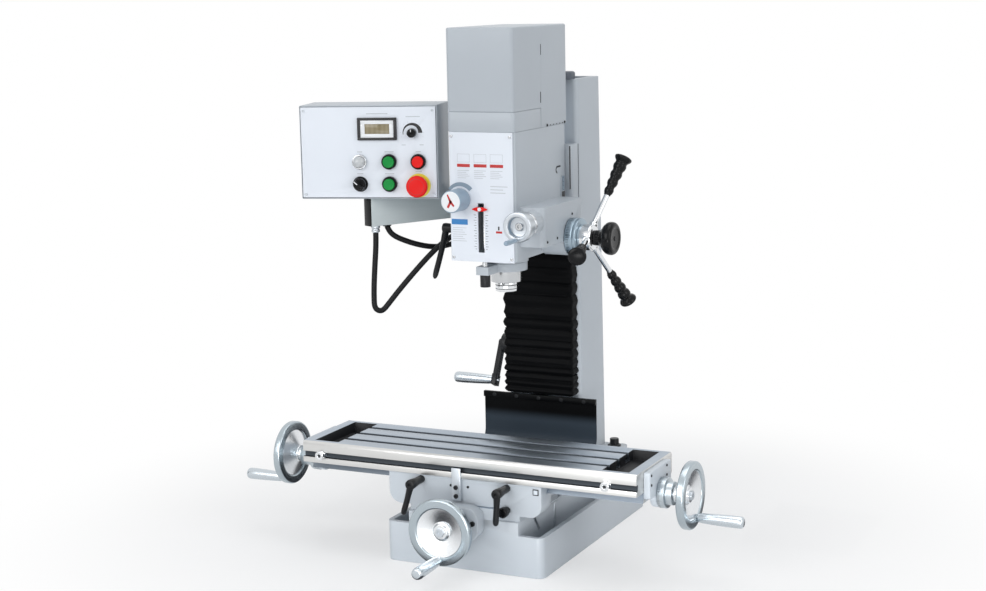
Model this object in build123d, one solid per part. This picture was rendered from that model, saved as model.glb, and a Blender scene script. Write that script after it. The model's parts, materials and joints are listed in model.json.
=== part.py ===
from build123d import *
import math
import os

# A bench mill-drill: base with cross slide and table, dovetail column, tilting geared head, control box.
# Millimetres. X runs along the table, Y from the front to the column, Z up. The origin is on the base's
# underside, midway between its bolt holes.

# Fits and clearances
fit_gap = 0.02
running_gap = 0.05
slide_gap = 0.1
face_gap = 0.3
cut_over = 1

# Base casting
base_width = 330
base_front_reach = 258
base_back_reach = 272
base_height = 78
base_corner = 15
rim_width = 10
trough_floor = 48
way_half = 115
way_top = 103
dovetail_rise = 22
cross_dovetail_half = 75
cross_way_back = 100
dovetail_slope = math.tan(math.radians(30))
cross_channel_half = 20
cross_channel_floor = 82
cross_bearing_length = 12
pocket_height = 84
pocket_half = 100
pocket_back = 235
rib_half = 24
foot_hole_radius = 6.5
foot_spacing_x = 276
foot_spacing_y = 450

# Column
column_width = 162
column_depth = 137
column_top_depth = 119
column_front = 129
column_top = 905
column_corner = 10
column_wall = 16
column_front_wall = 24
column_foot_half = 130
column_foot_front = 119
column_foot_back = 270
column_foot_height = 27
column_foot_corner = 12
column_dovetail_tip_half = 62
column_channel_half = 18
column_bolt_radius = 6
column_bolt_x = 107
column_bolt_rows = (160, 246)
top_plate_half = 72
top_plate_height = 15
top_plate_overhang = 2

# Elevating screw, bevel gears and crank
elevating_screw_y = 141
elevating_screw_radius = 9
elevating_journal_radius = 6
crank_z = 357
crank_shaft_radius = 8
bevel_pitch_radius = 22
bevel_face = 9
bevel_backlash = 0.5
bevel_hub_length = 9
bevel_hub_radius = 12
bevel_pocket_half = 26
elevating_bearing_length = 16
crank_hub_radius = 21
crank_hub_length = 14
crank_throw_y = -36
crank_throw_z = -72
crank_arm_width = 15
crank_arm_thickness = 10
crank_block = 22

# Bellows and apron
bellows_bottom = 264
bellows_folds = 14
bellows_fold_growth = 1.07
bellows_half_outer = 78
bellows_half_inner = 66
bellows_fold_depth = 5
bellows_front_wall = 4
bellows_front_gap = 3
apron_half = 125
apron_thickness = 3
apron_top = 262
apron_bar_height = 12
apron_bar_thickness = 6
apron_bend_radius = 38
apron_level = 147

# Saddle
saddle_half = 160
saddle_setback = 8
saddle_depth = 178
saddle_skirt = 114
saddle_corner = 24
saddle_apron_depth = 44
saddle_deck_bottom = 147
gib_thickness = 6
lock_stud_radius = 5
lock_stud_length = 15
table_lock_x = 90
table_lock_z = 166
saddle_knob_x = 90
saddle_knob_z = 124
saddle_knob_radius = 10
saddle_knob_length = 25
stop_bracket_x = -12.5
stop_bracket_width = 19
stop_bracket_thickness = 8
stop_bracket_bottom = 133
stop_bracket_top = 196

# Table
table_length = 700
table_width = 186
table_top = 218
table_edge_height = 42
table_setback = 89
table_edge_fillet = 7
table_rail_height = 20
table_rail_inner = 22
table_dovetail_half = 48
slot_pitch = 48
slot_neck = 12
slot_neck_depth = 9
slot_head = 20
slot_head_depth = 8
end_trough_width = 52
end_trough_depth = 20
end_trough_margin = 15
end_wall = 20
groove_height = 11
groove_depth = 8
groove_top_below = 20
end_bracket_thickness = 13
end_bracket_half = 56
end_bracket_shift = -2
end_bracket_bottom = 164
end_bracket_top = 214
end_bracket_corner = 5
end_boss_radius = 28
dog_radius = 9
dog_length = 9
dog_left_x = -309
dog_right_x = 291

# Feed screws, dials, handwheels and their handles
long_screw_z = 164
long_screw_radius = 7.5
cross_screw_z = 99
cross_screw_radius = 8
cross_bracket_half = 46
cross_bracket_bottom = 66
cross_bracket_top = 130
cross_bracket_corner = 24
cross_bracket_thickness = 28
cross_nut_length = 34
long_nut_half = 20
dial_radius = 29
dial_step_radius = 22
dial_step_length = 4
cross_dial_length = 30
long_dial_length = 15
long_dial_step_length = 11.5
left_dial_extra = 13
wheel_radius = 63.5
wheel_width = 38
wheel_rim_inner = 46
wheel_rim_back = 23
wheel_hub_radius = 16
wheel_hub_front = 31
wheel_handle_radius = 52
handle_length = 88
handle_pin_radius = 4
handle_pin_length = 14
handle_root_radius = 7
handle_grip_radius = 10.5
cross_handle_turn = -92
right_handle_turn = -66.4
left_handle_turn = -112.6

# Carriage and head slide
carriage_half = 83
carriage_bottom = 560
carriage_height = 218
carriage_back = 127
carriage_corner = 8
column_dovetail_depth = 22
elevating_nut_half = 16
elevating_nut_bottom = 640
elevating_nut_height = 60
tilt_z = 670
spigot_radius = 40
spigot_depth = 14

# Head casting
head_half = 70
head_front = -145
head_back = 93
head_bottom = 577
head_top = 820
head_corner = 6
plate_thickness = 3
plate_half = 66
plate_drop = 3
spindle_y = -45
quill_radius = 30
quill_boss_radius = 44
quill_boss_drop = 15
quill_bore_top = 745
gear_cavity_floor = 765
gear_cavity_half = 63
gear_cavity_corner = 12
depth_slot_width = 13
depth_slot_x = -2
depth_slot_bottom = 592
depth_slot_top = 686
feed_block_right = 119
feed_block_front = -128
feed_block_back = 60
feed_block_bottom = 603
feed_block_top = 678
feed_block_corner = 10
feed_boss_radius = 36
fine_boss_radius = 23.5
fine_boss_length = 37
fine_boss_x = 95.5
fine_boss_z = 650
tilt_scale_width = 3
tilt_scale_depth = 14
tilt_scale_bottom = 667
tilt_scale_top = 717
tilt_scale_setback = 14

# Covers and motor
cover_wall = 4
lid_height = 38
cover_height = 157
cover_split_y = -23
housing_back = 104
cover_corner = 8
cover_top_fillet = 3.5
motor_radius = 50
motor_height = 155
motor_plate_half = 60
motor_plate_height = 10
motor_plate_margin = 6
motor_shaft_radius = 7

# Gears
drive_module = 2.5
pinion_teeth = 18
drive_teeth = 46
gear_backlash = 0.3
gear_width = 20
gear_lift = 13
sleeve_radius = 18
sleeve_shoulder_radius = 22
spline_radius = 12
rack_module = 2
feed_pinion_teeth = 16
rack_backlash = 0.5
rack_play = 0.2
feed_pinion_half = 11
rack_bottom = 596
rack_top = 690

# Quill, spindle and depth stop
quill_bottom = 522
quill_top = 733
quill_bore_radius = 20
bearing_radius = 24
bearing_length = 18
bearing_inset = 6
spindle_radius = 17
spindle_nose_bottom = 503
spindle_nose_radius = 21.5
spindle_top = 845
tool_bore_radius = 12.07
tool_bore_depth = 60
collar_radius = 42
collar_bottom = 545
collar_top = 561
depth_rod_radius = 5
depth_rod_x = -10
depth_rod_y = -118
depth_rod_top = 690
depth_nut_radius = 10
depth_nut_bottom = 521
pointer_below = 15
pointer_width = 8
pointer_reach = 4
depth_lug_half = 13

# Capstan, fine feed and levers
feed_axis_z = 608
feed_shaft_radius = 9
feed_shaft_left = -40
feed_dial_radius = 37
feed_dial_length = 22
capstan_hub_radius = 26
capstan_hub_length = 28
spoke_radius = 5.5
spoke_root = 13
spoke_tip_radius = 169
spoke_tip_reach = 48
spoke_turns = (64, 184, 304)
grip_length = 85
grip_root_radius = 6.5
grip_bulges = 4
grip_bulge = 2
grip_flare_length = 16
grip_tip_radius = 17.5
clutch_neck_radius = 15
clutch_radius = 32
clutch_length = 43
clutch_stud_radius = 5
clutch_stud_length = 20
fine_wheel_radius = 28.5
fine_wheel_length = 33
fine_wheel_recess = 18.5
fine_shaft_radius = 6
fine_shaft_length = 28
fine_knob_radius = 5
fine_knob_throw = 24
fine_knob_turn = -95
fine_knob_reach = 47
range_knob_x = -45
range_knob_z = 692
range_knob_radius = 21.5
range_knob_length = 44
range_shaft_radius = 6
range_shaft_length = 20
quill_lock_y = -80
quill_lock_z = 626
lever_hub_radius = 10
lever_root_radius = 7
lever_tip_radius = 5.5
table_lever_hub = 50
left_lever_arm = 59
right_lever_arm = 57
left_lever_turn = -107
right_lever_turn = -94
quill_lever_hub = 48
quill_lever_arm = 99
quill_lever_turn = -148.7

# Control box, arm and cables
box_corner_x = -357.2
box_corner_y = -210.2
box_bottom = 690
box_yaw = 16
box_width = 271
box_depth = 110
box_height = 180
box_wall = 3
panel_margin = 3
panel_thickness = 2
arm_width = 24
arm_height = 56
arm_wall = 3
arm_start_x = -231
arm_start_y = -162.3
arm_turn = 62.15
arm_length = 300
arm_seat_front = 36
arm_seat_back = 74
display_width = 77
display_height = 43
display_depth = 5
display_window_width = 48.5
display_window_height = 19
display_x = 154
display_z = 135
button_row_high = 72
button_row_low = 29
button_column_left = 118
button_column_middle = 176
button_column_right = 233
bezel_radius = 14.8
bezel_height = 8
cap_radius = 11
cap_height = 8
cap_stem_radius = 6
cap_stem_length = 24
emergency_ring_radius = 23
emergency_ring_height = 3
emergency_radius = 21
emergency_height = 14
emergency_lift = 14
selector_radius = 13
selector_height = 17
speed_knob_x = 222
speed_knob_z = 127
speed_knob_radius = 9
speed_knob_height = 14
knob_stem_radius = 4
knob_stem_length = 16
cable_radius = 5.5
gland_radius = 9
long_cable_points = [
    (-234.1, -142.6, 620.0),
    (-234.1, -142.6, 598.0),
    (-237.0, -144.9, 556.0),
    (-239.2, -146.6, 518.0),
    (-239.9, -147.1, 493.0),
    (-239.7, -147.0, 473.0),
    (-234.0, -142.6, 464.9),
    (-226.0, -136.4, 465.1),
    (-216.0, -128.6, 480.0),
    (-199.4, -115.7, 505.0),
    (-175.7, -97.3, 538.0),
    (-152.0, -78.9, 569.0),
    (-129.9, -61.8, 594.0),
    (-106.2, -43.4, 612.0),
    (-84.0, -43.4, 612.0),
]
short_cable_points = [
    (-222.0, -118.0, 630.0),
    (-222.0, -118.0, 617.0),
    (-214.0, -110.7, 609.0),
    (-200.0, -98.3, 601.0),
    (-180.0, -80.5, 591.5),
    (-156.0, -58.5, 583.5),
    (-133.0, -37.0, 584.5),
    (-114.0, -18.0, 592.0),
    (-102.0, -4.0, 597.5),
    (-84.0, -4.0, 597.5),
]

# Places that follow from the sizes above
base_front = -base_front_reach
base_depth = base_front_reach + base_back_reach
base_middle = base_front + base_depth / 2
cross_dovetail_top = way_top + dovetail_rise
cross_channel_back = cross_way_back - cross_bearing_length
column_back = column_front + column_depth
column_top_back = column_front + column_top_depth
column_half = column_width / 2
column_dovetail_front = column_front - column_dovetail_depth
column_hollow_front = column_front + column_front_wall
saddle_front = base_front + saddle_setback
saddle_back = saddle_front + saddle_depth
table_y = saddle_front + table_setback
table_half = table_length / 2
table_front = table_y - table_width / 2
table_back = table_y + table_width / 2
table_bottom = table_top - table_edge_height
rail_bottom = table_bottom - table_rail_height
saddle_top = table_bottom - running_gap
saddle_slot_floor = rail_bottom - running_gap * 10
cross_bracket_front = base_front - cross_bracket_thickness
cross_wheel_back = cross_bracket_front - cross_dial_length - dial_step_length
end_bracket_face = table_half + end_bracket_thickness
long_wheel_back = end_bracket_face + long_dial_length + long_dial_step_length
left_wheel_back = long_wheel_back + left_dial_extra
left_wheel_turn = 180 - left_handle_turn
carriage_front = head_back + face_gap
carriage_top = carriage_bottom + carriage_height
plate_front = head_front - plate_thickness
lid_top = head_top + lid_height
housing_front = cover_split_y + fit_gap
cover_top = lid_top + cover_height
drive_radius = drive_module * drive_teeth / 2
pinion_radius = drive_module * pinion_teeth / 2
motor_y = spindle_y + drive_radius + pinion_radius
feed_pinion_radius = rack_module * feed_pinion_teeth / 2
rack_pitch_y = spindle_y + quill_radius - rack_module
feed_axis_y = rack_pitch_y + feed_pinion_radius + rack_play
feed_dial_left = feed_block_right + cut_over
capstan_left = feed_dial_left + feed_dial_length
capstan_right = capstan_left + capstan_hub_length
gear_bottom = gear_cavity_floor + gear_lift
plate_bottom = head_bottom - plate_drop
pointer_z = depth_rod_top - pointer_below


def block(x0, x1, y0, y1, z0, z1):
    """A plain block between two opposite corners."""
    return Pos((x0 + x1) / 2, (y0 + y1) / 2, (z0 + z1) / 2) * Box(x1 - x0, y1 - y0, z1 - z0)


def rod_x(x0, x1, y, z, radius):
    """A round bar along X."""
    return Pos((x0 + x1) / 2, y, z) * Rot(0, 90, 0) * Cylinder(radius, x1 - x0)


def rod_y(x, y0, y1, z, radius):
    """A round bar along Y."""
    return Pos(x, (y0 + y1) / 2, z) * Rot(90, 0, 0) * Cylinder(radius, y1 - y0)


def rod_z(x, y, z0, z1, radius):
    """A round bar along Z."""
    return Pos(x, y, (z0 + z1) / 2) * Cylinder(radius, z1 - z0)


def prism_x(points, x0, x1):
    """A (Y, Z) outline drawn out along X."""
    return extrude(Plane.YZ.offset(x0) * make_face(Polyline(*points, close=True)), x1 - x0)


def prism_y(points, y0, y1):
    """An (X, Z) outline drawn out along Y."""
    return extrude(Plane.XZ.offset(-y1) * make_face(Polyline(*points, close=True)), y1 - y0)


def prism_z(points, z0, z1):
    """An (X, Y) outline drawn out along Z."""
    return extrude(Plane.XY.offset(z0) * make_face(Polyline(*points, close=True)), z1 - z0)


def turned(points):
    """A (radius, height) outline turned about Z."""
    return revolve(Plane.XZ * make_face(Polyline(*points, close=True)), Axis.Z)


def rounded_box(x0, x1, y0, y1, z0, z1, corner):
    """A block with its upright edges rounded."""
    outline = Pos((x0 + x1) / 2, (y0 + y1) / 2, z0) * RectangleRounded(x1 - x0, y1 - y0, corner)
    return extrude(outline, z1 - z0)


def rounded_plate_y(x, half, y0, y1, z0, z1, corner):
    """An upright plate facing Y with rounded corners."""
    outline = Plane.XZ.offset(-y1) * Pos(x, (z0 + z1) / 2) * RectangleRounded(2 * half, z1 - z0, corner)
    return extrude(outline, y1 - y0)


def rounded_plate_x(x0, x1, y, half, z0, z1, corner):
    """An upright plate facing X with rounded corners."""
    outline = Plane.YZ.offset(x0) * Pos(y, (z0 + z1) / 2) * RectangleRounded(2 * half, z1 - z0, corner)
    return extrude(outline, x1 - x0)


def toward_front(x, y, z):
    """A place whose local Z points out to the front and whose local Y points up."""
    return Pos(x, y, z) * Rot(90, 0, 0)


def toward_right(x, y, z):
    """A place whose local Z points to +X."""
    return Pos(x, y, z) * Rot(0, 90, 0)


def toward_left(x, y, z):
    """A place whose local Z points to -X."""
    return Pos(x, y, z) * Rot(0, -90, 0)


def group(*pieces):
    """Several separate solids in one node."""
    return Compound([solid for piece in pieces for solid in piece.solids()])


# Base casting and column

def base_casting():
    body = Pos(0, base_middle) * extrude(RectangleRounded(base_width, base_depth, base_corner), base_height)
    trough_outline = RectangleRounded(
        base_width - 2 * rim_width, base_depth - 2 * rim_width, base_corner - rim_width
    )
    body -= Pos(0, base_middle, trough_floor) * extrude(trough_outline, base_height)
    body += block(-way_half, way_half, base_front, column_foot_back, trough_floor, way_top)
    body += rounded_box(
        -column_foot_half, column_foot_half, column_foot_front, column_foot_back,
        trough_floor, way_top, column_foot_corner,
    )
    neck = cross_dovetail_half - dovetail_rise * dovetail_slope
    dovetail = [
        (-neck, way_top), (-cross_dovetail_half, cross_dovetail_top),
        (cross_dovetail_half, cross_dovetail_top), (neck, way_top),
    ]
    way = prism_y(dovetail, base_front, cross_way_back)
    channel = block(
        -cross_channel_half, cross_channel_half, base_front - cut_over, cross_channel_back,
        cross_channel_floor, cross_dovetail_top + cut_over,
    )
    screw_bore = rod_y(
        0, cross_channel_back - cut_over, cross_way_back + cut_over, cross_screw_z,
        cross_screw_radius + running_gap,
    )
    body -= [channel, screw_bore]
    way -= [channel, screw_bore]
    for side in (-1, 1):
        for end in (-1, 1):
            body -= Pos(side * (rib_half + pocket_half) / 2, end * (rib_half + pocket_back) / 2) * Box(
                pocket_half - rib_half, pocket_back - rib_half, 2 * pocket_height
            )
            foot_x = side * foot_spacing_x / 2
            foot_y = end * foot_spacing_y / 2
            body -= rod_z(foot_x, foot_y, -cut_over, base_height, foot_hole_radius)
            bolt_y = column_bolt_rows[0] if end < 0 else column_bolt_rows[1]
            body -= rod_z(side * column_bolt_x, bolt_y, pocket_height, way_top, column_bolt_radius)
    # The dovetail is a bar of its own, seated on the flat ways
    return group(body, way)


def column_casting():
    foot = Pos(0, (column_front + column_back) / 2, way_top) * RectangleRounded(
        column_width, column_depth, column_corner
    )
    head = Pos(0, (column_front + column_top_back) / 2, column_top) * RectangleRounded(
        column_width, column_top_depth, column_corner
    )
    body = loft([foot, head])
    body += rounded_box(
        -column_foot_half, column_foot_half, column_foot_front, column_foot_back,
        way_top, way_top + column_foot_height, column_foot_corner,
    )
    neck = column_dovetail_tip_half - column_dovetail_depth * dovetail_slope
    dovetail = [
        (-column_dovetail_tip_half, column_dovetail_front), (-neck, column_front),
        (neck, column_front), (column_dovetail_tip_half, column_dovetail_front),
    ]
    body += prism_z(dovetail, way_top, column_top)
    hollow = [
        (column_hollow_front, way_top - cut_over), (column_back - column_wall, way_top - cut_over),
        (column_top_back - column_wall, column_top + cut_over), (column_hollow_front, column_top + cut_over),
    ]
    body -= prism_x(hollow, column_wall - column_half, column_half - column_wall)
    body -= block(
        -column_channel_half, column_channel_half, column_dovetail_front - cut_over,
        column_hollow_front + cut_over, way_top - cut_over, column_top + cut_over,
    )
    bearing_bottom = crank_z + bevel_pitch_radius + bevel_hub_length
    bearing_top = bearing_bottom + elevating_bearing_length
    body += block(
        -column_channel_half, column_channel_half, column_foot_front, column_hollow_front,
        bearing_bottom, bearing_top,
    )
    body -= rod_z(
        0, elevating_screw_y, bearing_bottom - cut_over, bearing_top + cut_over,
        elevating_screw_radius + running_gap,
    )
    body -= block(
        -bevel_pocket_half, bevel_pocket_half, elevating_screw_y - bevel_pocket_half,
        column_hollow_front + cut_over, crank_z - bevel_pocket_half, bearing_bottom,
    )
    body -= rod_x(
        -column_half - cut_over, -bevel_pocket_half + cut_over, elevating_screw_y, crank_z,
        crank_shaft_radius + running_gap,
    )
    for side in (-1, 1):
        for bolt_y in column_bolt_rows:
            body -= rod_z(
                side * column_bolt_x, bolt_y, way_top - cut_over, way_top + column_foot_height + cut_over,
                column_bolt_radius,
            )
    return body


def column_top_plate():
    plate = rounded_box(
        -top_plate_half, top_plate_half, column_dovetail_front + top_plate_overhang, column_hollow_front,
        column_top, column_top + top_plate_height, (column_hollow_front - column_dovetail_front) / 3,
    )
    plate = fillet(plate.edges().group_by(Axis.Z)[-1], top_plate_height / 3)
    plate -= rod_z(
        0, elevating_screw_y, column_top - cut_over, column_top + top_plate_height + cut_over,
        elevating_journal_radius + running_gap,
    )
    return plate


def elevating_screw():
    gear_top = crank_z + bevel_pitch_radius
    gear = Pos(0, elevating_screw_y, gear_top - bevel_face / 2) * Cone(
        bevel_pitch_radius - bevel_face - bevel_backlash, bevel_pitch_radius - bevel_backlash, bevel_face
    )
    hub = rod_z(0, elevating_screw_y, gear_top, gear_top + bevel_hub_length - face_gap, bevel_hub_radius)
    screw = rod_z(0, elevating_screw_y, gear_top, column_top - face_gap, elevating_screw_radius)
    journal = rod_z(
        0, elevating_screw_y, gear_top, column_top + top_plate_height, elevating_journal_radius
    )
    return gear + hub + screw + journal


def crank():
    face = -column_half - face_gap
    hub_end = face - crank_hub_length
    arm_end = hub_end - crank_arm_thickness
    gear = Pos(-bevel_pitch_radius + bevel_face / 2, elevating_screw_y, crank_z) * Rot(0, 90, 0) * Cone(
        bevel_pitch_radius - bevel_backlash, bevel_pitch_radius - bevel_face - bevel_backlash, bevel_face
    )
    body = gear + rod_x(arm_end, -bevel_pitch_radius, elevating_screw_y, crank_z, crank_shaft_radius)
    body += rod_x(hub_end, face, elevating_screw_y, crank_z, crank_hub_radius)
    throw = math.hypot(crank_throw_y, crank_throw_z)
    turn = math.degrees(math.atan2(crank_throw_z, crank_throw_y))
    arm = Pos(throw / 2, 0, 0) * Box(throw, crank_arm_width, crank_arm_thickness)
    arm += Pos(throw, 0, 0) * Box(crank_block, crank_block, crank_arm_thickness)
    place = Plane(
        origin=((hub_end + arm_end) / 2, elevating_screw_y, crank_z),
        x_dir=(0, math.cos(math.radians(turn)), math.sin(math.radians(turn))), z_dir=(1, 0, 0),
    )
    body += place * arm
    body -= rod_x(
        arm_end - cut_over, hub_end + cut_over, elevating_screw_y + crank_throw_y, crank_z + crank_throw_z,
        handle_pin_radius + running_gap,
    )
    return body


def bellows():
    top = carriage_bottom - face_gap
    front = column_dovetail_front - bellows_front_gap - bellows_front_wall
    back = column_front - cut_over
    growth = [bellows_fold_growth ** index for index in range(bellows_folds)]
    share = (top - bellows_bottom) / sum(growth)
    ridges = []
    level = bellows_bottom
    for size in growth:
        ridges.append((0, level))
        ridges.append((bellows_fold_depth, level + size * share / 2))
        level += size * share
    ridges.append((0, top))
    half = bellows_half_outer - bellows_fold_depth
    right = [(half + out, z) for out, z in ridges]
    left = [(-half - out, z) for out, z in reversed(ridges)]
    sides = prism_y(right + left, front - bellows_fold_depth, back)
    forward = [(front - out, z) for out, z in ridges]
    folds = prism_x(
        forward + [(back, top), (back, bellows_bottom)], -bellows_half_outer, bellows_half_outer
    )
    body = sides & folds
    body -= block(
        -bellows_half_inner, bellows_half_inner, front + bellows_front_wall, back + cut_over,
        bellows_bottom - cut_over, top + cut_over,
    )
    return body


def apron():
    back = column_dovetail_front - slide_gap
    front = back - apron_thickness
    bend_z = apron_level + apron_bend_radius
    outer = apron_bend_radius + apron_thickness / 2
    inner = apron_bend_radius - apron_thickness / 2
    centre_y = back - outer
    low = apron_level - apron_thickness / 2
    high = apron_level + apron_thickness / 2
    end = saddle_back + face_gap
    half_turn = math.sqrt(0.5)
    outline = Polyline((end, low), (end, high), (centre_y, high))
    outline += ThreePointArc(
        (centre_y, high), (centre_y + inner * half_turn, bend_z - inner * half_turn), (front, bend_z)
    )
    outline += Polyline((front, bend_z), (front, apron_top), (back, apron_top), (back, bend_z))
    outline += ThreePointArc(
        (back, bend_z), (centre_y + outer * half_turn, bend_z - outer * half_turn), (centre_y, low)
    )
    outline += Polyline((centre_y, low), (end, low))
    sheet = extrude(Plane.YZ.offset(-apron_half) * make_face(outline), 2 * apron_half)
    bar = block(
        -apron_half, apron_half, front - apron_bar_thickness, front,
        apron_top - apron_bar_height, apron_top,
    )
    return group(sheet, bar)


# Cross slide and table

def cross_bracket():
    plate = rounded_plate_y(
        0, cross_bracket_half, cross_bracket_front, base_front,
        cross_bracket_bottom, cross_bracket_top, cross_bracket_corner,
    )
    plate -= rod_y(
        0, cross_bracket_front - cut_over, base_front + cut_over, cross_screw_z,
        cross_screw_radius + running_gap,
    )
    return plate


def cross_screw():
    front = cross_wheel_back - wheel_hub_front
    return rod_y(0, front, cross_way_back, cross_screw_z, cross_screw_radius)


def handwheel(bore):
    """A dished handwheel about Z: its hub stands on Z = 0 and its rim faces +Z."""
    wheel = turned([
        (bore, 0), (wheel_hub_radius, 0), (wheel_hub_radius, wheel_rim_back / 2),
        (wheel_rim_inner, wheel_rim_back + 2), (wheel_rim_inner + 2, wheel_rim_back),
        (wheel_radius - 2, wheel_rim_back), (wheel_radius, wheel_rim_back + 2),
        (wheel_radius, wheel_width - 2), (wheel_radius - 2, wheel_width),
        (wheel_rim_inner + 2, wheel_width), (wheel_rim_inner, wheel_width - 2),
        (wheel_hub_radius + 2, wheel_rim_back + 2), (wheel_hub_radius - 2, wheel_rim_back + 4),
        (wheel_hub_radius - 2, wheel_hub_front), (bore, wheel_hub_front),
    ])
    return wheel


def drilled_wheel(bore, turn):
    """A handwheel with the seat for its revolving handle at an angle about Z."""
    x = wheel_handle_radius * math.cos(math.radians(turn))
    y = wheel_handle_radius * math.sin(math.radians(turn))
    seat_radius = handle_pin_radius + running_gap
    seat = rod_z(x, y, wheel_width - handle_pin_length, wheel_width + cut_over, seat_radius)
    return handwheel(bore) - seat


def wheel_handle(turn):
    """A tapered revolving handle standing on the front face of a handwheel."""
    x = wheel_handle_radius * math.cos(math.radians(turn))
    y = wheel_handle_radius * math.sin(math.radians(turn))
    return Pos(x, y, wheel_width) * revolving_handle()


def revolving_handle():
    """A tapered handle about Z: its pin lies below Z = 0 and its grip above."""
    return turned([
        (0, face_gap - handle_pin_length), (handle_pin_radius, face_gap - handle_pin_length),
        (handle_pin_radius, face_gap), (handle_root_radius, face_gap), (handle_root_radius, 6),
        (handle_root_radius + 1, 9), (handle_grip_radius, handle_length * 0.7),
        (handle_grip_radius - 0.6, handle_length - 5), (handle_grip_radius - 4, handle_length - 1),
        (0, handle_length),
    ])


def stepped_dial(length, step_length, bore):
    """A dial ring about Z with a smaller step on its outer side."""
    return turned([
        (bore, face_gap), (dial_radius - 1, face_gap), (dial_radius, 1 + face_gap), (dial_radius, length - 1),
        (dial_radius - 1, length), (dial_step_radius, length), (dial_step_radius, length + step_length),
        (bore, length + step_length),
    ])


def cross_wheel():
    bore = cross_screw_radius + fit_gap
    wheel = toward_front(0, cross_wheel_back, cross_screw_z) * drilled_wheel(bore, cross_handle_turn)
    dial = toward_front(0, cross_bracket_front, cross_screw_z) * stepped_dial(
        cross_dial_length, dial_step_length, bore
    )
    return group(wheel, dial)


def cross_handle():
    return toward_front(0, cross_wheel_back, cross_screw_z) * wheel_handle(cross_handle_turn)


def right_wheel_place(x):
    """The right wheel's local frame: X along +Y, Y up, Z out to +X."""
    return Plane(origin=(x, table_y, long_screw_z), x_dir=(0, 1, 0), z_dir=(1, 0, 0))


def left_wheel_place(x):
    """The left wheel's local frame: X along -Y, Y up, Z out to -X."""
    return Plane(origin=(-x, table_y, long_screw_z), x_dir=(0, -1, 0), z_dir=(-1, 0, 0))


def long_wheels():
    bore = long_screw_radius + fit_gap
    dial = stepped_dial(long_dial_length, long_dial_step_length, bore)
    left_dial = stepped_dial(long_dial_length, long_dial_step_length + left_dial_extra, bore)
    return group(
        right_wheel_place(long_wheel_back) * drilled_wheel(bore, right_handle_turn),
        left_wheel_place(left_wheel_back) * drilled_wheel(bore, left_wheel_turn),
        right_wheel_place(end_bracket_face) * dial,
        left_wheel_place(end_bracket_face) * left_dial,
    )


def saddle():
    body = block(-saddle_half, saddle_half, saddle_front, saddle_back, saddle_skirt, saddle_top)
    body = fillet(body.edges().filter_by(Axis.Y).group_by(Axis.Z)[0], saddle_corner)
    apron_back = saddle_front + saddle_apron_depth
    for side in (-1, 1):
        inner = side * way_half
        outer = side * (saddle_half + cut_over)
        body -= block(
            min(inner, outer), max(inner, outer), apron_back, saddle_back + cut_over,
            saddle_skirt - cut_over, saddle_deck_bottom,
        )
    sole = way_top + slide_gap
    body += block(-way_half, way_half, saddle_front, saddle_back, sole, saddle_skirt + cut_over)
    neck = cross_dovetail_half - dovetail_rise * dovetail_slope
    floor = way_top - cut_over
    roof = cross_dovetail_top + 5 * slide_gap
    left_foot = neck - cut_over * dovetail_slope + slide_gap
    left_top = cross_dovetail_half + 5 * slide_gap * dovetail_slope + slide_gap
    gib_room = gib_thickness + slide_gap
    cross_slot = [
        (-left_foot, floor), (-left_top, roof), (left_top + gib_room, roof), (left_foot + gib_room, floor),
    ]
    body -= prism_y(cross_slot, saddle_front - cut_over, saddle_back + cut_over)
    top_half = table_dovetail_half - cut_over * dovetail_slope + slide_gap
    floor_half = (
        table_dovetail_half + (table_bottom - saddle_slot_floor) * dovetail_slope + slide_gap
    )
    long_slot = [
        (table_y - floor_half - gib_room, saddle_slot_floor), (table_y + floor_half, saddle_slot_floor),
        (table_y + top_half, table_bottom + cut_over),
        (table_y - top_half - gib_room, table_bottom + cut_over),
    ]
    body -= prism_x(long_slot, -saddle_half - cut_over, saddle_half + cut_over)
    lock_bore = lock_stud_radius + running_gap
    lock_end = saddle_front + lock_stud_length + cut_over
    table_locks = [(-table_lock_x, table_lock_z), (table_lock_x, table_lock_z)]
    for x, z in (*table_locks, (saddle_knob_x, saddle_knob_z)):
        body -= rod_y(x, saddle_front - cut_over, lock_end, z, lock_bore)
    return body


def saddle_gibs():
    neck = cross_dovetail_half - dovetail_rise * dovetail_slope
    foot = way_top + 2 * slide_gap
    inner_foot = neck + 2 * slide_gap * dovetail_slope + slide_gap
    inner_top = cross_dovetail_half + slide_gap
    cross_gib = prism_y(
        [
            (inner_foot, foot), (inner_top, cross_dovetail_top),
            (inner_top + gib_thickness, cross_dovetail_top), (inner_foot + gib_thickness, foot),
        ],
        saddle_front, saddle_back,
    )
    rise = table_rail_height * dovetail_slope
    top = table_bottom - 2 * running_gap
    near_top = table_y - table_dovetail_half - slide_gap
    near_floor = near_top - rise
    long_gib = prism_x(
        [
            (near_floor, rail_bottom), (near_floor - gib_thickness, rail_bottom),
            (near_top - gib_thickness, top), (near_top, top),
        ],
        -saddle_half, saddle_half,
    )
    return group(cross_gib, long_gib)


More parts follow.
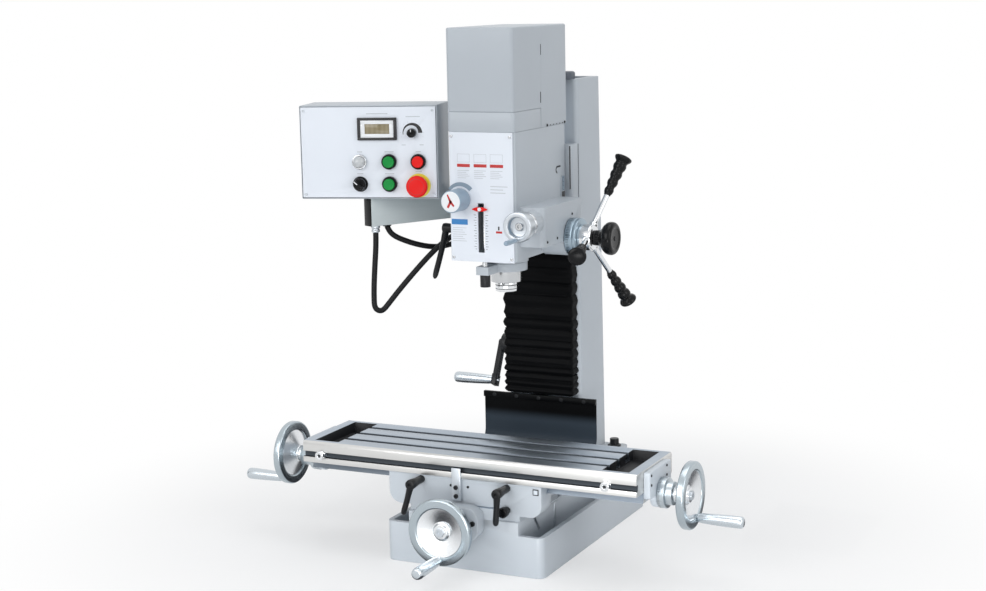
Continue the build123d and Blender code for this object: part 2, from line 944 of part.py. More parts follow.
def feed_nuts():
    middle = (saddle_front + saddle_back) / 2
    cross_top = cross_dovetail_top + 5 * slide_gap
    nut_half = cross_channel_half - 3
    cross_nut = block(
        -nut_half, nut_half, middle - cross_nut_length / 2, middle + cross_nut_length / 2,
        cross_screw_z - cross_screw_radius - 6, cross_top,
    )
    cross_nut -= rod_y(
        0, middle - cross_nut_length, middle + cross_nut_length, cross_screw_z,
        cross_screw_radius + running_gap,
    )
    nut_side = table_rail_inner - 2
    long_nut = block(
        -long_nut_half, long_nut_half, table_y - nut_side, table_y + nut_side,
        saddle_slot_floor, table_bottom - 2,
    )
    long_nut -= rod_x(
        -long_nut_half - cut_over, long_nut_half + cut_over, table_y, long_screw_z,
        long_screw_radius + running_gap,
    )
    return group(cross_nut, long_nut)


def stop_bracket():
    half = stop_bracket_width / 2
    front = saddle_front - stop_bracket_thickness
    plate = block(
        stop_bracket_x - half, stop_bracket_x + half, front, saddle_front,
        stop_bracket_bottom, stop_bracket_top,
    )
    plate -= block(
        stop_bracket_x - half - cut_over, stop_bracket_x + half + cut_over,
        table_front - face_gap - slide_gap, saddle_front + cut_over, saddle_top, stop_bracket_top + cut_over,
    )
    return plate


def table():
    body = block(-table_half, table_half, table_front, table_back, table_bottom, table_top)
    body = fillet(body.edges().filter_by(Axis.X).group_by(Axis.Z)[-1], table_edge_fillet)
    rise = table_rail_height * dovetail_slope
    for side in (-1, 1):
        rail = [
            (table_y + side * table_rail_inner, table_bottom + cut_over),
            (table_y + side * table_rail_inner, rail_bottom),
            (table_y + side * (table_dovetail_half + rise), rail_bottom),
            (table_y + side * table_dovetail_half, table_bottom),
            (table_y + side * table_dovetail_half, table_bottom + cut_over),
        ]
        body += prism_x(rail, -table_half, table_half)
        trough_outer = side * (table_half - end_wall)
        trough_inner = side * (table_half - end_wall - end_trough_width)
        body -= block(
            min(trough_outer, trough_inner), max(trough_outer, trough_inner),
            table_front + end_trough_margin, table_back - end_trough_margin,
            table_top - end_trough_depth, table_top + cut_over,
        )
    slot_half = table_half - end_wall - end_trough_width + cut_over
    slot_bottom = table_top - slot_neck_depth - slot_head_depth
    for row in (-1, 0, 1):
        y = table_y + row * slot_pitch
        slot = [
            (y - slot_neck / 2, table_top + cut_over), (y - slot_neck / 2, table_top - slot_neck_depth),
            (y - slot_head / 2, table_top - slot_neck_depth), (y - slot_head / 2, slot_bottom),
            (y + slot_head / 2, slot_bottom), (y + slot_head / 2, table_top - slot_neck_depth),
            (y + slot_neck / 2, table_top - slot_neck_depth), (y + slot_neck / 2, table_top + cut_over),
        ]
        body -= prism_x(slot, -slot_half, slot_half)
    groove_top = table_top - groove_top_below
    body -= block(
        -table_half - cut_over, table_half + cut_over, table_front - cut_over, table_front + groove_depth,
        groove_top - groove_height, groove_top,
    )
    return body


def end_brackets():
    plates = []
    for side in (-1, 1):
        x0 = min(side * table_half, side * end_bracket_face)
        plate = rounded_plate_x(
            x0, x0 + end_bracket_thickness, table_y + end_bracket_shift, end_bracket_half,
            end_bracket_bottom, end_bracket_top, end_bracket_corner,
        )
        plate += rod_x(x0, x0 + end_bracket_thickness, table_y, long_screw_z, end_boss_radius)
        plate -= rod_x(
            x0 - cut_over, x0 + end_bracket_thickness + cut_over, table_y, long_screw_z,
            long_screw_radius + running_gap,
        )
        plates.append(plate)
    return group(*plates)


def long_screw():
    left_end = -left_wheel_back - wheel_hub_front
    right_end = long_wheel_back + wheel_hub_front
    return rod_x(left_end, right_end, table_y, long_screw_z, long_screw_radius)


def stop_dog(x):
    """A round stop with a tongue in the table's front groove."""
    z = table_top - groove_top_below - groove_height / 2
    tongue_half = groove_height / 2 - face_gap
    seat = table_front - slide_gap
    body = rod_y(x, seat - dog_length, seat, z, dog_radius)
    body += block(
        x - dog_radius, x + dog_radius, seat - cut_over, table_front + groove_depth - face_gap,
        z - tongue_half, z + tongue_half,
    )
    return body


def clamp_lever(hub_length, arm_length, arm_turn_angle):
    """A clamping lever about Z: stud below its seat, hub above, tapered arm across the hub's end."""
    body = rod_z(0, 0, -lock_stud_length, hub_length, lock_stud_radius)
    body += rod_z(0, 0, face_gap, hub_length, lever_hub_radius)
    level = hub_length - lever_root_radius - face_gap
    arm = Pos(arm_length / 2, 0, 0) * Rot(0, 90, 0) * Cone(lever_root_radius, lever_tip_radius, arm_length)
    arm += Pos(arm_length, 0, 0) * Sphere(lever_tip_radius)
    body += Pos(0, 0, level) * Rot(0, 0, arm_turn_angle) * arm
    return body


def table_lock(x, arm_length, turn):
    return toward_front(x, saddle_front, table_lock_z) * clamp_lever(table_lever_hub, arm_length, turn)


def saddle_lock_knob():
    knob = turned([
        (0, -lock_stud_length), (lock_stud_radius, -lock_stud_length), (lock_stud_radius, face_gap),
        (saddle_knob_radius - 3, face_gap), (saddle_knob_radius - 3, saddle_knob_length * 0.4),
        (saddle_knob_radius, saddle_knob_length * 0.5), (saddle_knob_radius, saddle_knob_length - 2),
        (saddle_knob_radius - 2, saddle_knob_length), (0, saddle_knob_length),
    ])
    return toward_front(saddle_knob_x, saddle_front, saddle_knob_z) * knob


# Carriage and head

def carriage():
    body = rounded_box(
        -carriage_half, carriage_half, carriage_front, carriage_back, carriage_bottom, carriage_top,
        carriage_corner,
    )
    gap_x = slide_gap
    slot_front = column_dovetail_front - 5 * slide_gap
    tip = column_dovetail_tip_half + 5 * slide_gap * dovetail_slope + gap_x
    slot_back = carriage_back + cut_over
    neck = column_dovetail_tip_half - (slot_back - column_dovetail_front) * dovetail_slope + gap_x
    slot = [(-tip, slot_front), (-neck, slot_back), (neck, slot_back), (tip, slot_front)]
    body -= prism_z(slot, carriage_bottom - cut_over, carriage_top + cut_over)
    body += rod_y(0, head_back - spigot_depth + face_gap, carriage_front + cut_over, tilt_z, spigot_radius)
    return body


def elevating_nut():
    top = elevating_nut_bottom + elevating_nut_height
    body = block(
        -elevating_nut_half, elevating_nut_half, column_dovetail_front - 5 * slide_gap,
        elevating_screw_y + elevating_nut_half, elevating_nut_bottom, top,
    )
    body -= rod_z(
        0, elevating_screw_y, elevating_nut_bottom - cut_over, top + cut_over,
        elevating_screw_radius + running_gap,
    )
    return body


def head_casting():
    body = rounded_box(-head_half, head_half, head_front, head_back, head_bottom, head_top, head_corner)
    body += rod_z(0, spindle_y, head_bottom - quill_boss_drop, head_bottom + cut_over, quill_boss_radius)
    body += rounded_box(
        head_half - feed_block_corner * 2, feed_block_right, feed_block_front, feed_block_back,
        feed_block_bottom, feed_block_top, feed_block_corner,
    )
    body += rod_x(head_half - cut_over, feed_block_right, feed_axis_y, feed_axis_z, feed_boss_radius)
    fine_front = feed_block_front - fine_boss_length
    body += rod_y(fine_boss_x, fine_front, feed_block_front + cut_over, fine_boss_z, fine_boss_radius)
    scale_back = head_back - tilt_scale_setback
    body += block(
        head_half - cut_over, head_half + tilt_scale_width, scale_back - tilt_scale_depth, scale_back,
        tilt_scale_bottom, tilt_scale_top,
    )
    body -= rod_z(
        0, spindle_y, head_bottom - quill_boss_drop - cut_over, quill_bore_top, quill_radius + running_gap
    )
    body -= rod_z(0, spindle_y, quill_bore_top - cut_over, head_top, sleeve_radius + running_gap)
    cavity_front = spindle_y - gear_cavity_half
    cavity_back = motor_y + pinion_radius + drive_module * 2
    body -= rounded_box(
        -gear_cavity_half, gear_cavity_half, cavity_front, cavity_back,
        gear_cavity_floor, head_top + cut_over, gear_cavity_corner,
    )
    pinion_room = feed_pinion_radius + 2 * rack_module
    pocket_end = feed_pinion_half + 2
    body -= rod_x(-pocket_end, pocket_end, feed_axis_y, feed_axis_z, pinion_room)
    body -= rod_x(
        feed_shaft_left - face_gap, feed_block_right + cut_over, feed_axis_y, feed_axis_z,
        feed_shaft_radius + running_gap,
    )
    body -= rod_y(
        0, head_back - spigot_depth, head_back + cut_over, tilt_z, spigot_radius + running_gap
    )
    rod_room = depth_rod_radius + 5
    body -= block(
        min(depth_rod_x - rod_room, depth_slot_x - depth_slot_width / 2),
        max(depth_rod_x + rod_room, depth_slot_x + depth_slot_width / 2),
        head_front - cut_over, depth_rod_y + rod_room, head_bottom - cut_over, depth_rod_top + rod_room,
    )
    body -= rod_y(
        fine_boss_x, fine_front - cut_over, fine_front + fine_shaft_length + cut_over, fine_boss_z,
        fine_shaft_radius + running_gap,
    )
    body -= rod_y(
        range_knob_x, head_front - cut_over, head_front + range_shaft_length + cut_over, range_knob_z,
        range_shaft_radius + running_gap,
    )
    body -= rod_x(
        -head_half - cut_over, -head_half + lock_stud_length + cut_over, quill_lock_y, quill_lock_z,
        lock_stud_radius + running_gap,
    )
    return body


def front_plate():
    plate = block(-plate_half, plate_half, plate_front, head_front, plate_bottom, head_top - fit_gap)
    plate -= block(
        depth_slot_x - depth_slot_width / 2, depth_slot_x + depth_slot_width / 2, plate_front - cut_over,
        head_front + cut_over, depth_slot_bottom, depth_slot_top,
    )
    plate -= rod_y(
        range_knob_x, plate_front - cut_over, head_front + cut_over, range_knob_z,
        range_shaft_radius + running_gap,
    )
    return plate


def hollow_cover(y0, y1, square_end, z0, z1, top_fillet=0):
    """A cover open below, with rounded upright edges but for those at its square end."""
    inward = 1 if square_end == y0 else -1
    outline = Pos(0, (y0 + y1) / 2, z0) * RectangleRounded(2 * head_half, y1 - y0, cover_corner)
    outline += Pos(0, square_end + inward * cover_corner, z0) * Rectangle(2 * head_half, 2 * cover_corner)
    shell = extrude(outline, z1 - z0)
    if top_fillet:
        top_edges = shell.edges().group_by(Axis.Z)[-1]
        shell = fillet([edge for edge in top_edges if edge.center().Y != square_end], top_fillet)
    room = rounded_box(
        -head_half + cover_wall, head_half - cover_wall, y0 + cover_wall, y1 - cover_wall,
        z0 - cut_over, z1 - cover_wall, cover_corner - cover_wall,
    )
    return shell - room


def motor():
    plate_top = head_top + motor_plate_height
    body = block(
        -motor_plate_half, motor_plate_half, cover_split_y + cover_wall + face_gap,
        motor_y + motor_radius + motor_plate_margin, head_top, plate_top,
    )
    body += rod_z(0, motor_y, plate_top, plate_top + motor_height, motor_radius)
    body -= rod_z(
        0, motor_y, head_top - cut_over, plate_top + motor_height + cut_over, motor_shaft_radius + running_gap
    )
    return body


def gear_outline(teeth, module, backlash, first_tooth):
    """A spur gear outline: each flank runs through the involute's width at root, pitch line and tip."""
    pitch = module * teeth / 2
    base = pitch * math.cos(math.radians(20))
    radii = (pitch - 1.25 * module, max(base, pitch - 0.6 * module), pitch, pitch + module)
    pressure = math.tan(math.radians(20)) - math.radians(20)
    half_widths = []
    for radius in radii:
        angle = math.acos(min(1, base / max(radius, base)))
        involute = math.tan(angle) - angle
        half_widths.append(math.pi / (2 * teeth) - backlash / (2 * pitch) + pressure - involute)
    points = []
    for tooth in range(teeth):
        middle = math.radians(first_tooth) + 2 * math.pi * tooth / teeth
        rising = [(radius, middle - half) for radius, half in zip(radii, half_widths)]
        falling = [(radius, middle + half) for radius, half in zip(reversed(radii), reversed(half_widths))]
        for radius, angle in rising + falling:
            points.append((radius * math.cos(angle), radius * math.sin(angle)))
    return make_face(Polyline(*points, close=True))


def motor_pinion():
    shaft = rod_z(
        0, motor_y, gear_bottom, head_top + motor_plate_height + motor_height, motor_shaft_radius
    )
    outline = gear_outline(pinion_teeth, drive_module, gear_backlash, 0)
    return shaft + Pos(0, motor_y, gear_bottom) * extrude(outline, gear_width)


def drive_gear():
    outline = gear_outline(drive_teeth, drive_module, gear_backlash, 90)
    body = Pos(0, spindle_y, gear_bottom) * extrude(outline, gear_width)
    shoulder = gear_cavity_floor + slide_gap
    body += rod_z(0, spindle_y, shoulder, gear_bottom + gear_width, sleeve_shoulder_radius)
    body += rod_z(0, spindle_y, quill_bore_top, gear_bottom, sleeve_radius)
    body -= rod_z(0, spindle_y, quill_bore_top - cut_over, head_top, spline_radius + running_gap)
    return body


def quill():
    body = rod_z(0, spindle_y, quill_bottom, quill_top, quill_radius)
    body -= rod_z(0, spindle_y, quill_bottom - cut_over, quill_top + cut_over, quill_bore_radius)
    seat = bearing_length + bearing_inset
    body -= rod_z(0, spindle_y, quill_bottom - cut_over, quill_bottom + seat, bearing_radius)
    body -= rod_z(0, spindle_y, quill_top - seat, quill_top + cut_over, bearing_radius)
    pitch = math.pi * rack_module
    root = rack_pitch_y - 1.25 * rack_module
    crest = rack_pitch_y + 2 * rack_module
    slope = math.tan(math.radians(20))
    width = pitch / 4 + rack_backlash / 2
    below = math.floor((feed_axis_z - rack_bottom) / pitch)
    above = math.floor((rack_top - feed_axis_z) / pitch)
    for index in range(-below, above + 1):
        z = feed_axis_z + index * pitch
        root_half = width - 1.25 * rack_module * slope
        crest_half = width + 2 * rack_module * slope
        space = [
            (root, z - root_half), (root, z + root_half), (crest, z + crest_half), (crest, z - crest_half),
        ]
        body -= prism_x(space, -quill_radius, quill_radius)
    return body


def spindle_bearings():
    rings = []
    for bottom in (quill_bottom + bearing_inset, quill_top - bearing_inset - bearing_length):
        ring = rod_z(0, spindle_y, bottom, bottom + bearing_length, bearing_radius - fit_gap)
        ring -= rod_z(
            0, spindle_y, bottom - cut_over, bottom + bearing_length + cut_over, spindle_radius + running_gap
        )
        rings.append(ring)
    return group(*rings)


def spindle():
    nose_top = quill_bottom - face_gap
    body = rod_z(0, spindle_y, spindle_nose_bottom, nose_top, spindle_nose_radius)
    body += rod_z(0, spindle_y, spindle_nose_bottom, quill_top, spindle_radius)
    body += rod_z(0, spindle_y, quill_top - cut_over, spindle_top, spline_radius)
    body -= rod_z(
        0, spindle_y, spindle_nose_bottom - cut_over, spindle_nose_bottom + tool_bore_depth, tool_bore_radius
    )
    return body


def depth_stop():
    collar = rod_z(0, spindle_y, collar_bottom, collar_top, collar_radius)
    collar += block(
        depth_rod_x - depth_lug_half, depth_rod_x + depth_lug_half, depth_rod_y - depth_lug_half, spindle_y,
        collar_bottom, collar_top,
    )
    collar -= rod_z(0, spindle_y, collar_bottom - cut_over, collar_top + cut_over, quill_radius + fit_gap)
    collar -= rod_z(
        depth_rod_x, depth_rod_y, collar_bottom - cut_over, collar_top + cut_over, depth_rod_radius + fit_gap
    )
    rod = rod_z(depth_rod_x, depth_rod_y, depth_nut_bottom, depth_rod_top, depth_rod_radius)
    rod += rod_z(depth_rod_x, depth_rod_y, depth_nut_bottom, collar_bottom, depth_nut_radius)
    pointer_front = plate_front - pointer_reach
    rod += block(
        depth_slot_x - pointer_width / 2, depth_slot_x + pointer_width / 2, pointer_front, depth_rod_y,
        pointer_z - pointer_width / 2, pointer_z + pointer_width / 2,
    )
    rod += block(
        depth_rod_x - depth_rod_radius, depth_slot_x, depth_rod_y - depth_rod_radius - 2, depth_rod_y,
        pointer_z - pointer_width / 2, pointer_z + pointer_width / 2,
    )
    return group(collar, rod)


# Capstan, fine feed and levers

def spoke_place(turn):
    """A frame on the capstan hub whose local Z runs out along one spoke."""
    angle = math.radians(turn)
    out = Vector(0, math.cos(angle), math.sin(angle))
    start = Vector(capstan_left + spoke_root, feed_axis_y, feed_axis_z)
    way = (out * spoke_tip_radius + Vector(spoke_tip_reach, 0, 0)).normalized()
    return Plane(origin=start, x_dir=way.cross(out), z_dir=way)


spoke_length = math.hypot(spoke_tip_radius, spoke_tip_reach)


def capstan():
    body = rod_x(feed_shaft_left, capstan_left, feed_axis_y, feed_axis_z, feed_shaft_radius)
    body += rod_x(feed_dial_left, capstan_left, feed_axis_y, feed_axis_z, feed_dial_radius)
    body += rod_x(capstan_left, capstan_right, feed_axis_y, feed_axis_z, capstan_hub_radius)
    for turn in spoke_turns:
        start = spoke_length - grip_length
        body += spoke_place(turn) * rod_z(0, 0, 0, start + spoke_root, spoke_radius)
    outline = gear_outline(feed_pinion_teeth, rack_module, rack_backlash, 180)
    place = Plane(origin=(-feed_pinion_half, feed_axis_y, feed_axis_z), x_dir=(0, 1, 0), z_dir=(1, 0, 0))
    body += extrude(place * outline, 2 * feed_pinion_half)
    body -= rod_x(
        capstan_right - clutch_stud_length - cut_over, capstan_right + cut_over, feed_axis_y, feed_axis_z,
        clutch_stud_radius + running_gap,
    )
    return body


def capstan_grips():
    seat = spoke_radius + fit_gap
    start = spoke_length - grip_length
    flare = spoke_length - grip_flare_length
    pitch = (flare - start) / grip_bulges
    growth = (grip_tip_radius - 3 * grip_bulge - grip_root_radius) / grip_bulges
    outline = [(seat, start)]
    for bulge in range(grip_bulges):
        valley = grip_root_radius + growth * bulge
        level = start + pitch * bulge
        outline += [(valley, level), (valley + grip_bulge, level + pitch / 3)]
        outline += [(valley + grip_bulge + growth / 2, level + pitch * 2 / 3)]
    outline += [
        (grip_root_radius + growth * grip_bulges, flare),
        (grip_tip_radius, spoke_length - grip_flare_length / 3),
        (grip_tip_radius, spoke_length - grip_bulge), (grip_tip_radius - grip_bulge, spoke_length),
        (0, spoke_length), (0, start + spoke_root + fit_gap), (seat, start + spoke_root + fit_gap),
    ]
    grip = turned(outline)
    return group(*[spoke_place(turn) * grip for turn in spoke_turns])


def clutch_knob():
    knob = turned([
        (0, -clutch_stud_length), (clutch_stud_radius, -clutch_stud_length), (clutch_stud_radius, face_gap),
        (clutch_neck_radius, face_gap), (clutch_neck_radius, clutch_length * 0.3),
        (clutch_radius - 5, clutch_length * 0.5), (clutch_radius, clutch_length * 0.7),
        (clutch_radius, clutch_length - 4), (clutch_radius - 4, clutch_length), (0, clutch_length),
    ])
    return toward_right(capstan_right, feed_axis_y, feed_axis_z) * knob


def fine_feed_wheel():
    cup = turned([
        (0, -fine_shaft_length), (fine_shaft_radius, -fine_shaft_length), (fine_shaft_radius, face_gap),
        (fine_wheel_radius - 3, face_gap), (fine_wheel_radius, 3 + face_gap),
        (fine_wheel_radius, fine_wheel_length - 2), (fine_wheel_radius - 2, fine_wheel_length),
        (fine_wheel_recess, fine_wheel_length), (fine_wheel_recess - 2, fine_wheel_length * 0.6),
        (0, fine_wheel_length * 0.6),
    ])
    knob_x = fine_knob_throw * math.cos(math.radians(fine_knob_turn))
    knob_y = fine_knob_throw * math.sin(math.radians(fine_knob_turn))
    knob_end = fine_wheel_length + fine_knob_reach
    cup += rod_z(knob_x, knob_y, fine_wheel_length / 2, knob_end, fine_knob_radius)
    return toward_front(fine_boss_x, feed_block_front - fine_boss_length, fine_boss_z) * cup


def range_knob():
    plate_gap = plate_thickness + face_gap
    knob = turned([
        (0, -range_shaft_length), (range_shaft_radius, -range_shaft_length), (range_shaft_radius, plate_gap),
        (range_knob_radius, plate_gap), (range_knob_radius, range_knob_length - 1),
        (range_knob_radius - 1, range_knob_length), (0, range_knob_length),
    ])
    return toward_front(range_knob_x, head_front, range_knob_z) * knob


def quill_lock_lever():
    lever = clamp_lever(quill_lever_hub, quill_lever_arm, quill_lever_turn)
    return toward_left(-head_half, quill_lock_y, quill_lock_z) * lever


# Control box, arm and cables

box_place = Pos(box_corner_x, box_corner_y, box_bottom) * Rot(0, 0, box_yaw)


def panel_place(x, z):
    """A place on the control panel's front face whose local Z points out of the panel."""
    return box_place * Pos(x, -panel_thickness, z) * Rot(90, 0, 0)


push_buttons = {
    "run_button": (button_column_middle, button_row_high),
    "stop_button": (button_column_right, button_row_high),
    "jog_button": (button_column_middle, button_row_low),
}
emergency_at = (button_column_right, button_row_low - 3)
selector_at = (button_column_left, button_row_low)
lamp_at = (button_column_left, button_row_high)
speed_at = (speed_knob_x, speed_knob_z)


def arm():
    along = Vector(math.cos(math.radians(arm_turn)), math.sin(math.radians(arm_turn)), 0)
    place = Plane(
        origin=(arm_start_x, arm_start_y, box_bottom), x_dir=along, z_dir=(0, 0, 1)
    )
    tube = block(0, arm_length, 0, arm_width, -arm_height, 0)
    tube -= block(
        -cut_over, arm_length + cut_over, arm_wall, arm_width - arm_wall, arm_wall - arm_height, -arm_wall
    )
    body = place * tube
    body -= block(
        arm_start_x, head_half, arm_seat_back, arm_seat_back + arm_length,
        box_bottom - 2 * arm_height, box_bottom + arm_height,
    )
    front_x = arm_start_x + (arm_seat_front - arm_start_y) * along.X / along.Y
    back_x = arm_start_x + (arm_seat_back - arm_start_y) * along.X / along.Y
    seat = [
        (-head_half, arm_seat_front), (-head_half, arm_seat_back), (back_x, arm_seat_back),
        (front_x, arm_seat_front),
    ]
    return body + prism_z(seat, box_bottom - arm_height, box_bottom)


def control_box():
    shell = block(0, box_width, 0, box_depth, 0, box_height)
    shell -= block(
        box_wall, box_width - box_wall, -cut_over, box_depth - box_wall, box_wall, box_height - box_wall
    )
    return box_place * shell


def control_panel():
    panel = box_place * block(
        panel_margin, box_width - panel_margin, -panel_thickness, 0, panel_margin, box_height - panel_margin
    )
    for x, z in (*push_buttons.values(), emergency_at):
        hole = rod_z(0, 0, -panel_thickness - cut_over, cut_over, cap_stem_radius + running_gap)
        panel -= panel_place(x, z) * hole
    for x, z in (selector_at, speed_at):
        hole = rod_z(0, 0, -panel_thickness - cut_over, cut_over, knob_stem_radius + running_gap)
        panel -= panel_place(x, z) * hole
    return panel


def ring(inner, outer, height):
    return rod_z(0, 0, 0, height, outer) - rod_z(0, 0, -cut_over, height + cut_over, inner)


def panel_fittings():
    frame = Pos(0, 0, display_depth / 2) * Box(display_width, display_height, display_depth)
    frame -= Pos(0, 0, display_depth) * Box(display_window_width, display_window_height, display_depth)
    pieces = [panel_place(display_x, display_z) * frame]
    for x, z in push_buttons.values():
        pieces.append(panel_place(x, z) * ring(cap_radius + face_gap, bezel_radius, bezel_height))
    low_bezel = ring(selector_radius + face_gap, bezel_radius, bezel_height / 2)
    pieces.append(panel_place(*selector_at) * low_bezel)
    pieces.append(panel_place(*emergency_at) * ring(
        cap_stem_radius + face_gap, emergency_ring_radius, emergency_ring_height
    ))
    lamp = rod_z(0, 0, 0, bezel_height, bezel_radius)
    upper_half = Pos(0, 0, cap_radius) * Box(3 * cap_radius, 3 * cap_radius, 2 * cap_radius)
    lamp += Pos(0, 0, bezel_height) * (Sphere(cap_radius) & upper_half)
    pieces.append(panel_place(*lamp_at) * lamp)
    return group(*pieces)


def push_button(x, z):
    lift = bezel_height / 2
    cap = turned([
        (0, -cap_stem_length), (cap_stem_radius, -cap_stem_length), (cap_stem_radius, lift),
        (cap_radius, lift), (cap_radius, lift + cap_height - 1), (cap_radius - 1, lift + cap_height),
        (0, lift + cap_height),
    ])
    return panel_place(x, z) * cap


def emergency_stop():
    top = emergency_lift + emergency_height
    mushroom = turned([
        (0, -cap_stem_length), (cap_stem_radius, -cap_stem_length), (cap_stem_radius, emergency_lift),
        (emergency_radius - 3, emergency_lift), (emergency_radius, emergency_lift + 3),
        (emergency_radius, top - 5), (emergency_radius - 4, top - 1), (0, top),
    ])
    return panel_place(*emergency_at) * mushroom


def panel_knob(x, z, radius, height):
    """A small knob on the panel: its stem goes through the panel."""
    knob = turned([
        (0, -knob_stem_length), (knob_stem_radius, -knob_stem_length), (knob_stem_radius, face_gap),
        (radius, face_gap), (radius - 1, height - 1), (radius - 2, height), (0, height),
    ])
    return panel_place(x, z) * knob


def selector_switch():
    body = panel_knob(*selector_at, selector_radius, selector_height)
    bar = Pos(0, 0, selector_height) * Box(2 * selector_radius - 6, selector_radius / 2, selector_radius)
    return body + panel_place(*selector_at) * Rot(0, 0, -40) * bar


def cable(points):
    """A round cable: straight runs joined by the largest arcs that the runs allow."""
    places = [Vector(*point) for point in points]
    radii = []
    for before, here, after in zip(places, places[1:], places[2:]):
        turn = math.radians((here - before).get_angle(after - here))
        shorter = min((here - before).length, (after - here).length)
        radii.append(0.45 * shorter / math.tan(turn / 2))
    print("cable arc radii", [round(radius, 1) for radius in radii])
    route = FilletPolyline(*points, radius=radii)
    start = Plane(origin=route @ 0, z_dir=route % 0)
    tube = sweep(start * Circle(cable_radius), path=route)
    print("cable length", round(route.length, 1), "volume ratio",
          round(tube.volume / (math.pi * cable_radius ** 2 * route.length), 4))
    return tube


def cable_glands():
    pieces = []
    for points in (long_cable_points, short_cable_points):
        x, y, z = points[0]
        pieces.append(rod_z(x, y, z, box_bottom - arm_height, gland_radius))
        x, y, z = points[-1]
        pieces.append(rod_x(x, -head_half, y, z, gland_radius))
    return group(*pieces)


nodes = {
    "base_casting": base_casting(),
    "column": column_casting(),
    "column_top_plate": column_top_plate(),
    "elevating_screw": elevating_screw(),
    "crank": crank(),
    "crank_handle": toward_left(
        -column_half - face_gap - crank_hub_length - crank_arm_thickness,
        elevating_screw_y + crank_throw_y, crank_z + crank_throw_z,
    ) * revolving_handle(),
    "bellows": bellows(),
    "apron": apron(),
    "cross_bracket": cross_bracket(),
    "cross_screw": cross_screw(),
    "cross_wheel": cross_wheel(),
    "cross_handle": cross_handle(),
    "saddle": saddle(),
    "saddle_gibs": saddle_gibs(),
    "feed_nuts": feed_nuts(),
    "stop_bracket": stop_bracket(),
    "table_lock_left": table_lock(-table_lock_x, left_lever_arm, left_lever_turn),
    "table_lock_right": table_lock(table_lock_x, right_lever_arm, right_lever_turn),
    "saddle_lock_knob": saddle_lock_knob(),
    "table": table(),
    "end_brackets": end_brackets(),
    "long_screw": long_screw(),
    "long_wheels": long_wheels(),
    "left_handle": left_wheel_place(left_wheel_back) * wheel_handle(left_wheel_turn),
    "right_handle": right_wheel_place(long_wheel_back) * wheel_handle(right_handle_turn),
    "stop_dog_left": stop_dog(dog_left_x),
    "stop_dog_right": stop_dog(dog_right_x),
    "carriage": carriage(),
    "elevating_nut": elevating_nut(),
    "head_casting": head_casting(),
    "front_plate": front_plate(),
    "gearbox_lid": hollow_cover(plate_front, cover_split_y, cover_split_y, head_top, lid_top),
    "spindle_cover": hollow_cover(
        plate_front, cover_split_y, cover_split_y, lid_top, cover_top, cover_top_fillet
    ),
    "motor_housing": hollow_cover(
        housing_front, housing_back, housing_front, head_top, cover_top, cover_top_fillet
    ),
    "motor": motor(),
    "motor_pinion": motor_pinion(),
    "drive_gear": drive_gear(),
    "quill": quill(),
    "spindle_bearings": spindle_bearings(),
    "spindle": spindle(),
    "depth_stop": depth_stop(),
    "capstan": capstan(),
    "capstan_grips": capstan_grips(),
    "clutch_knob": clutch_knob(),
    "fine_feed_wheel": fine_feed_wheel(),
    "range_knob": range_knob(),
    "quill_lock_lever": quill_lock_lever(),
    "arm": arm(),
    "control_box": control_box(),
    "control_panel": control_panel(),
    "panel_fittings": panel_fittings(),
    "emergency_stop": emergency_stop(),
    "selector_switch": selector_switch(),
    "speed_knob": panel_knob(*speed_at, speed_knob_radius, speed_knob_height),
    "cable_long": cable(long_cable_points),
    "cable_short": cable(short_cable_points),
    "cable_glands": cable_glands(),
}
for button, place in push_buttons.items():
    nodes[button] = push_button(*place)

os.makedirs("parts", exist_ok=True)
for node, shape in nodes.items():
    export_step(shape, f"parts/{node}.step")
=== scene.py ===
import json
import math

import bmesh
import bpy
from mathutils import Matrix, Vector

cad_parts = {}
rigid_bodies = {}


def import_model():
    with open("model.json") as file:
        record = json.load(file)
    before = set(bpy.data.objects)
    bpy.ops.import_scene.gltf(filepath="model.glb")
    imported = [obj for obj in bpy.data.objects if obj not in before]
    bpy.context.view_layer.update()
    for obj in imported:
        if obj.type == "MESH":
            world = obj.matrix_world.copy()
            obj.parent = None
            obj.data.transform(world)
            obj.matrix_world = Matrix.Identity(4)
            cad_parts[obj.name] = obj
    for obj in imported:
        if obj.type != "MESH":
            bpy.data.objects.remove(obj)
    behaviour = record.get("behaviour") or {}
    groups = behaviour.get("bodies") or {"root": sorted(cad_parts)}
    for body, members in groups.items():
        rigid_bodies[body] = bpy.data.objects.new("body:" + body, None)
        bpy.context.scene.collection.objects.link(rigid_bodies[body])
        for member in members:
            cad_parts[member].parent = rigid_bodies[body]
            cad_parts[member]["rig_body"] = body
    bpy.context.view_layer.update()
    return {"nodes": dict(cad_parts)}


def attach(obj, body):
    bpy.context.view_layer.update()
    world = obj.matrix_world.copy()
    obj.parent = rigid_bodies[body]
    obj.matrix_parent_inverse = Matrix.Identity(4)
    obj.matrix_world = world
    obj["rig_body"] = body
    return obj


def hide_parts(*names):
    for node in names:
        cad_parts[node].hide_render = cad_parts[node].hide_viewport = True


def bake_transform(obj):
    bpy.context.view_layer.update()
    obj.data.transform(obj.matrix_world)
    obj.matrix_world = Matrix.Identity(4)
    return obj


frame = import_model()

bl_info = {
    "name": "Bench Mill-Drill",
    "version": (1, 0, 0),
    "blender": (4, 5, 0),
    "location": "3D View > Sidebar > Mill",
    "description": "Dresses the packed bench mill-drill with its finishes, controls, soft covers and cables",
    "category": "Object",
}

MM = 0.001
UP = Matrix.Identity(4)


# Sizes and colours that a user would change

def colour_value(label, description, default):
    return bpy.props.FloatVectorProperty(
        name=label, description=description, subtype="COLOR", size=3, min=0.0, max=1.0, default=default
    )


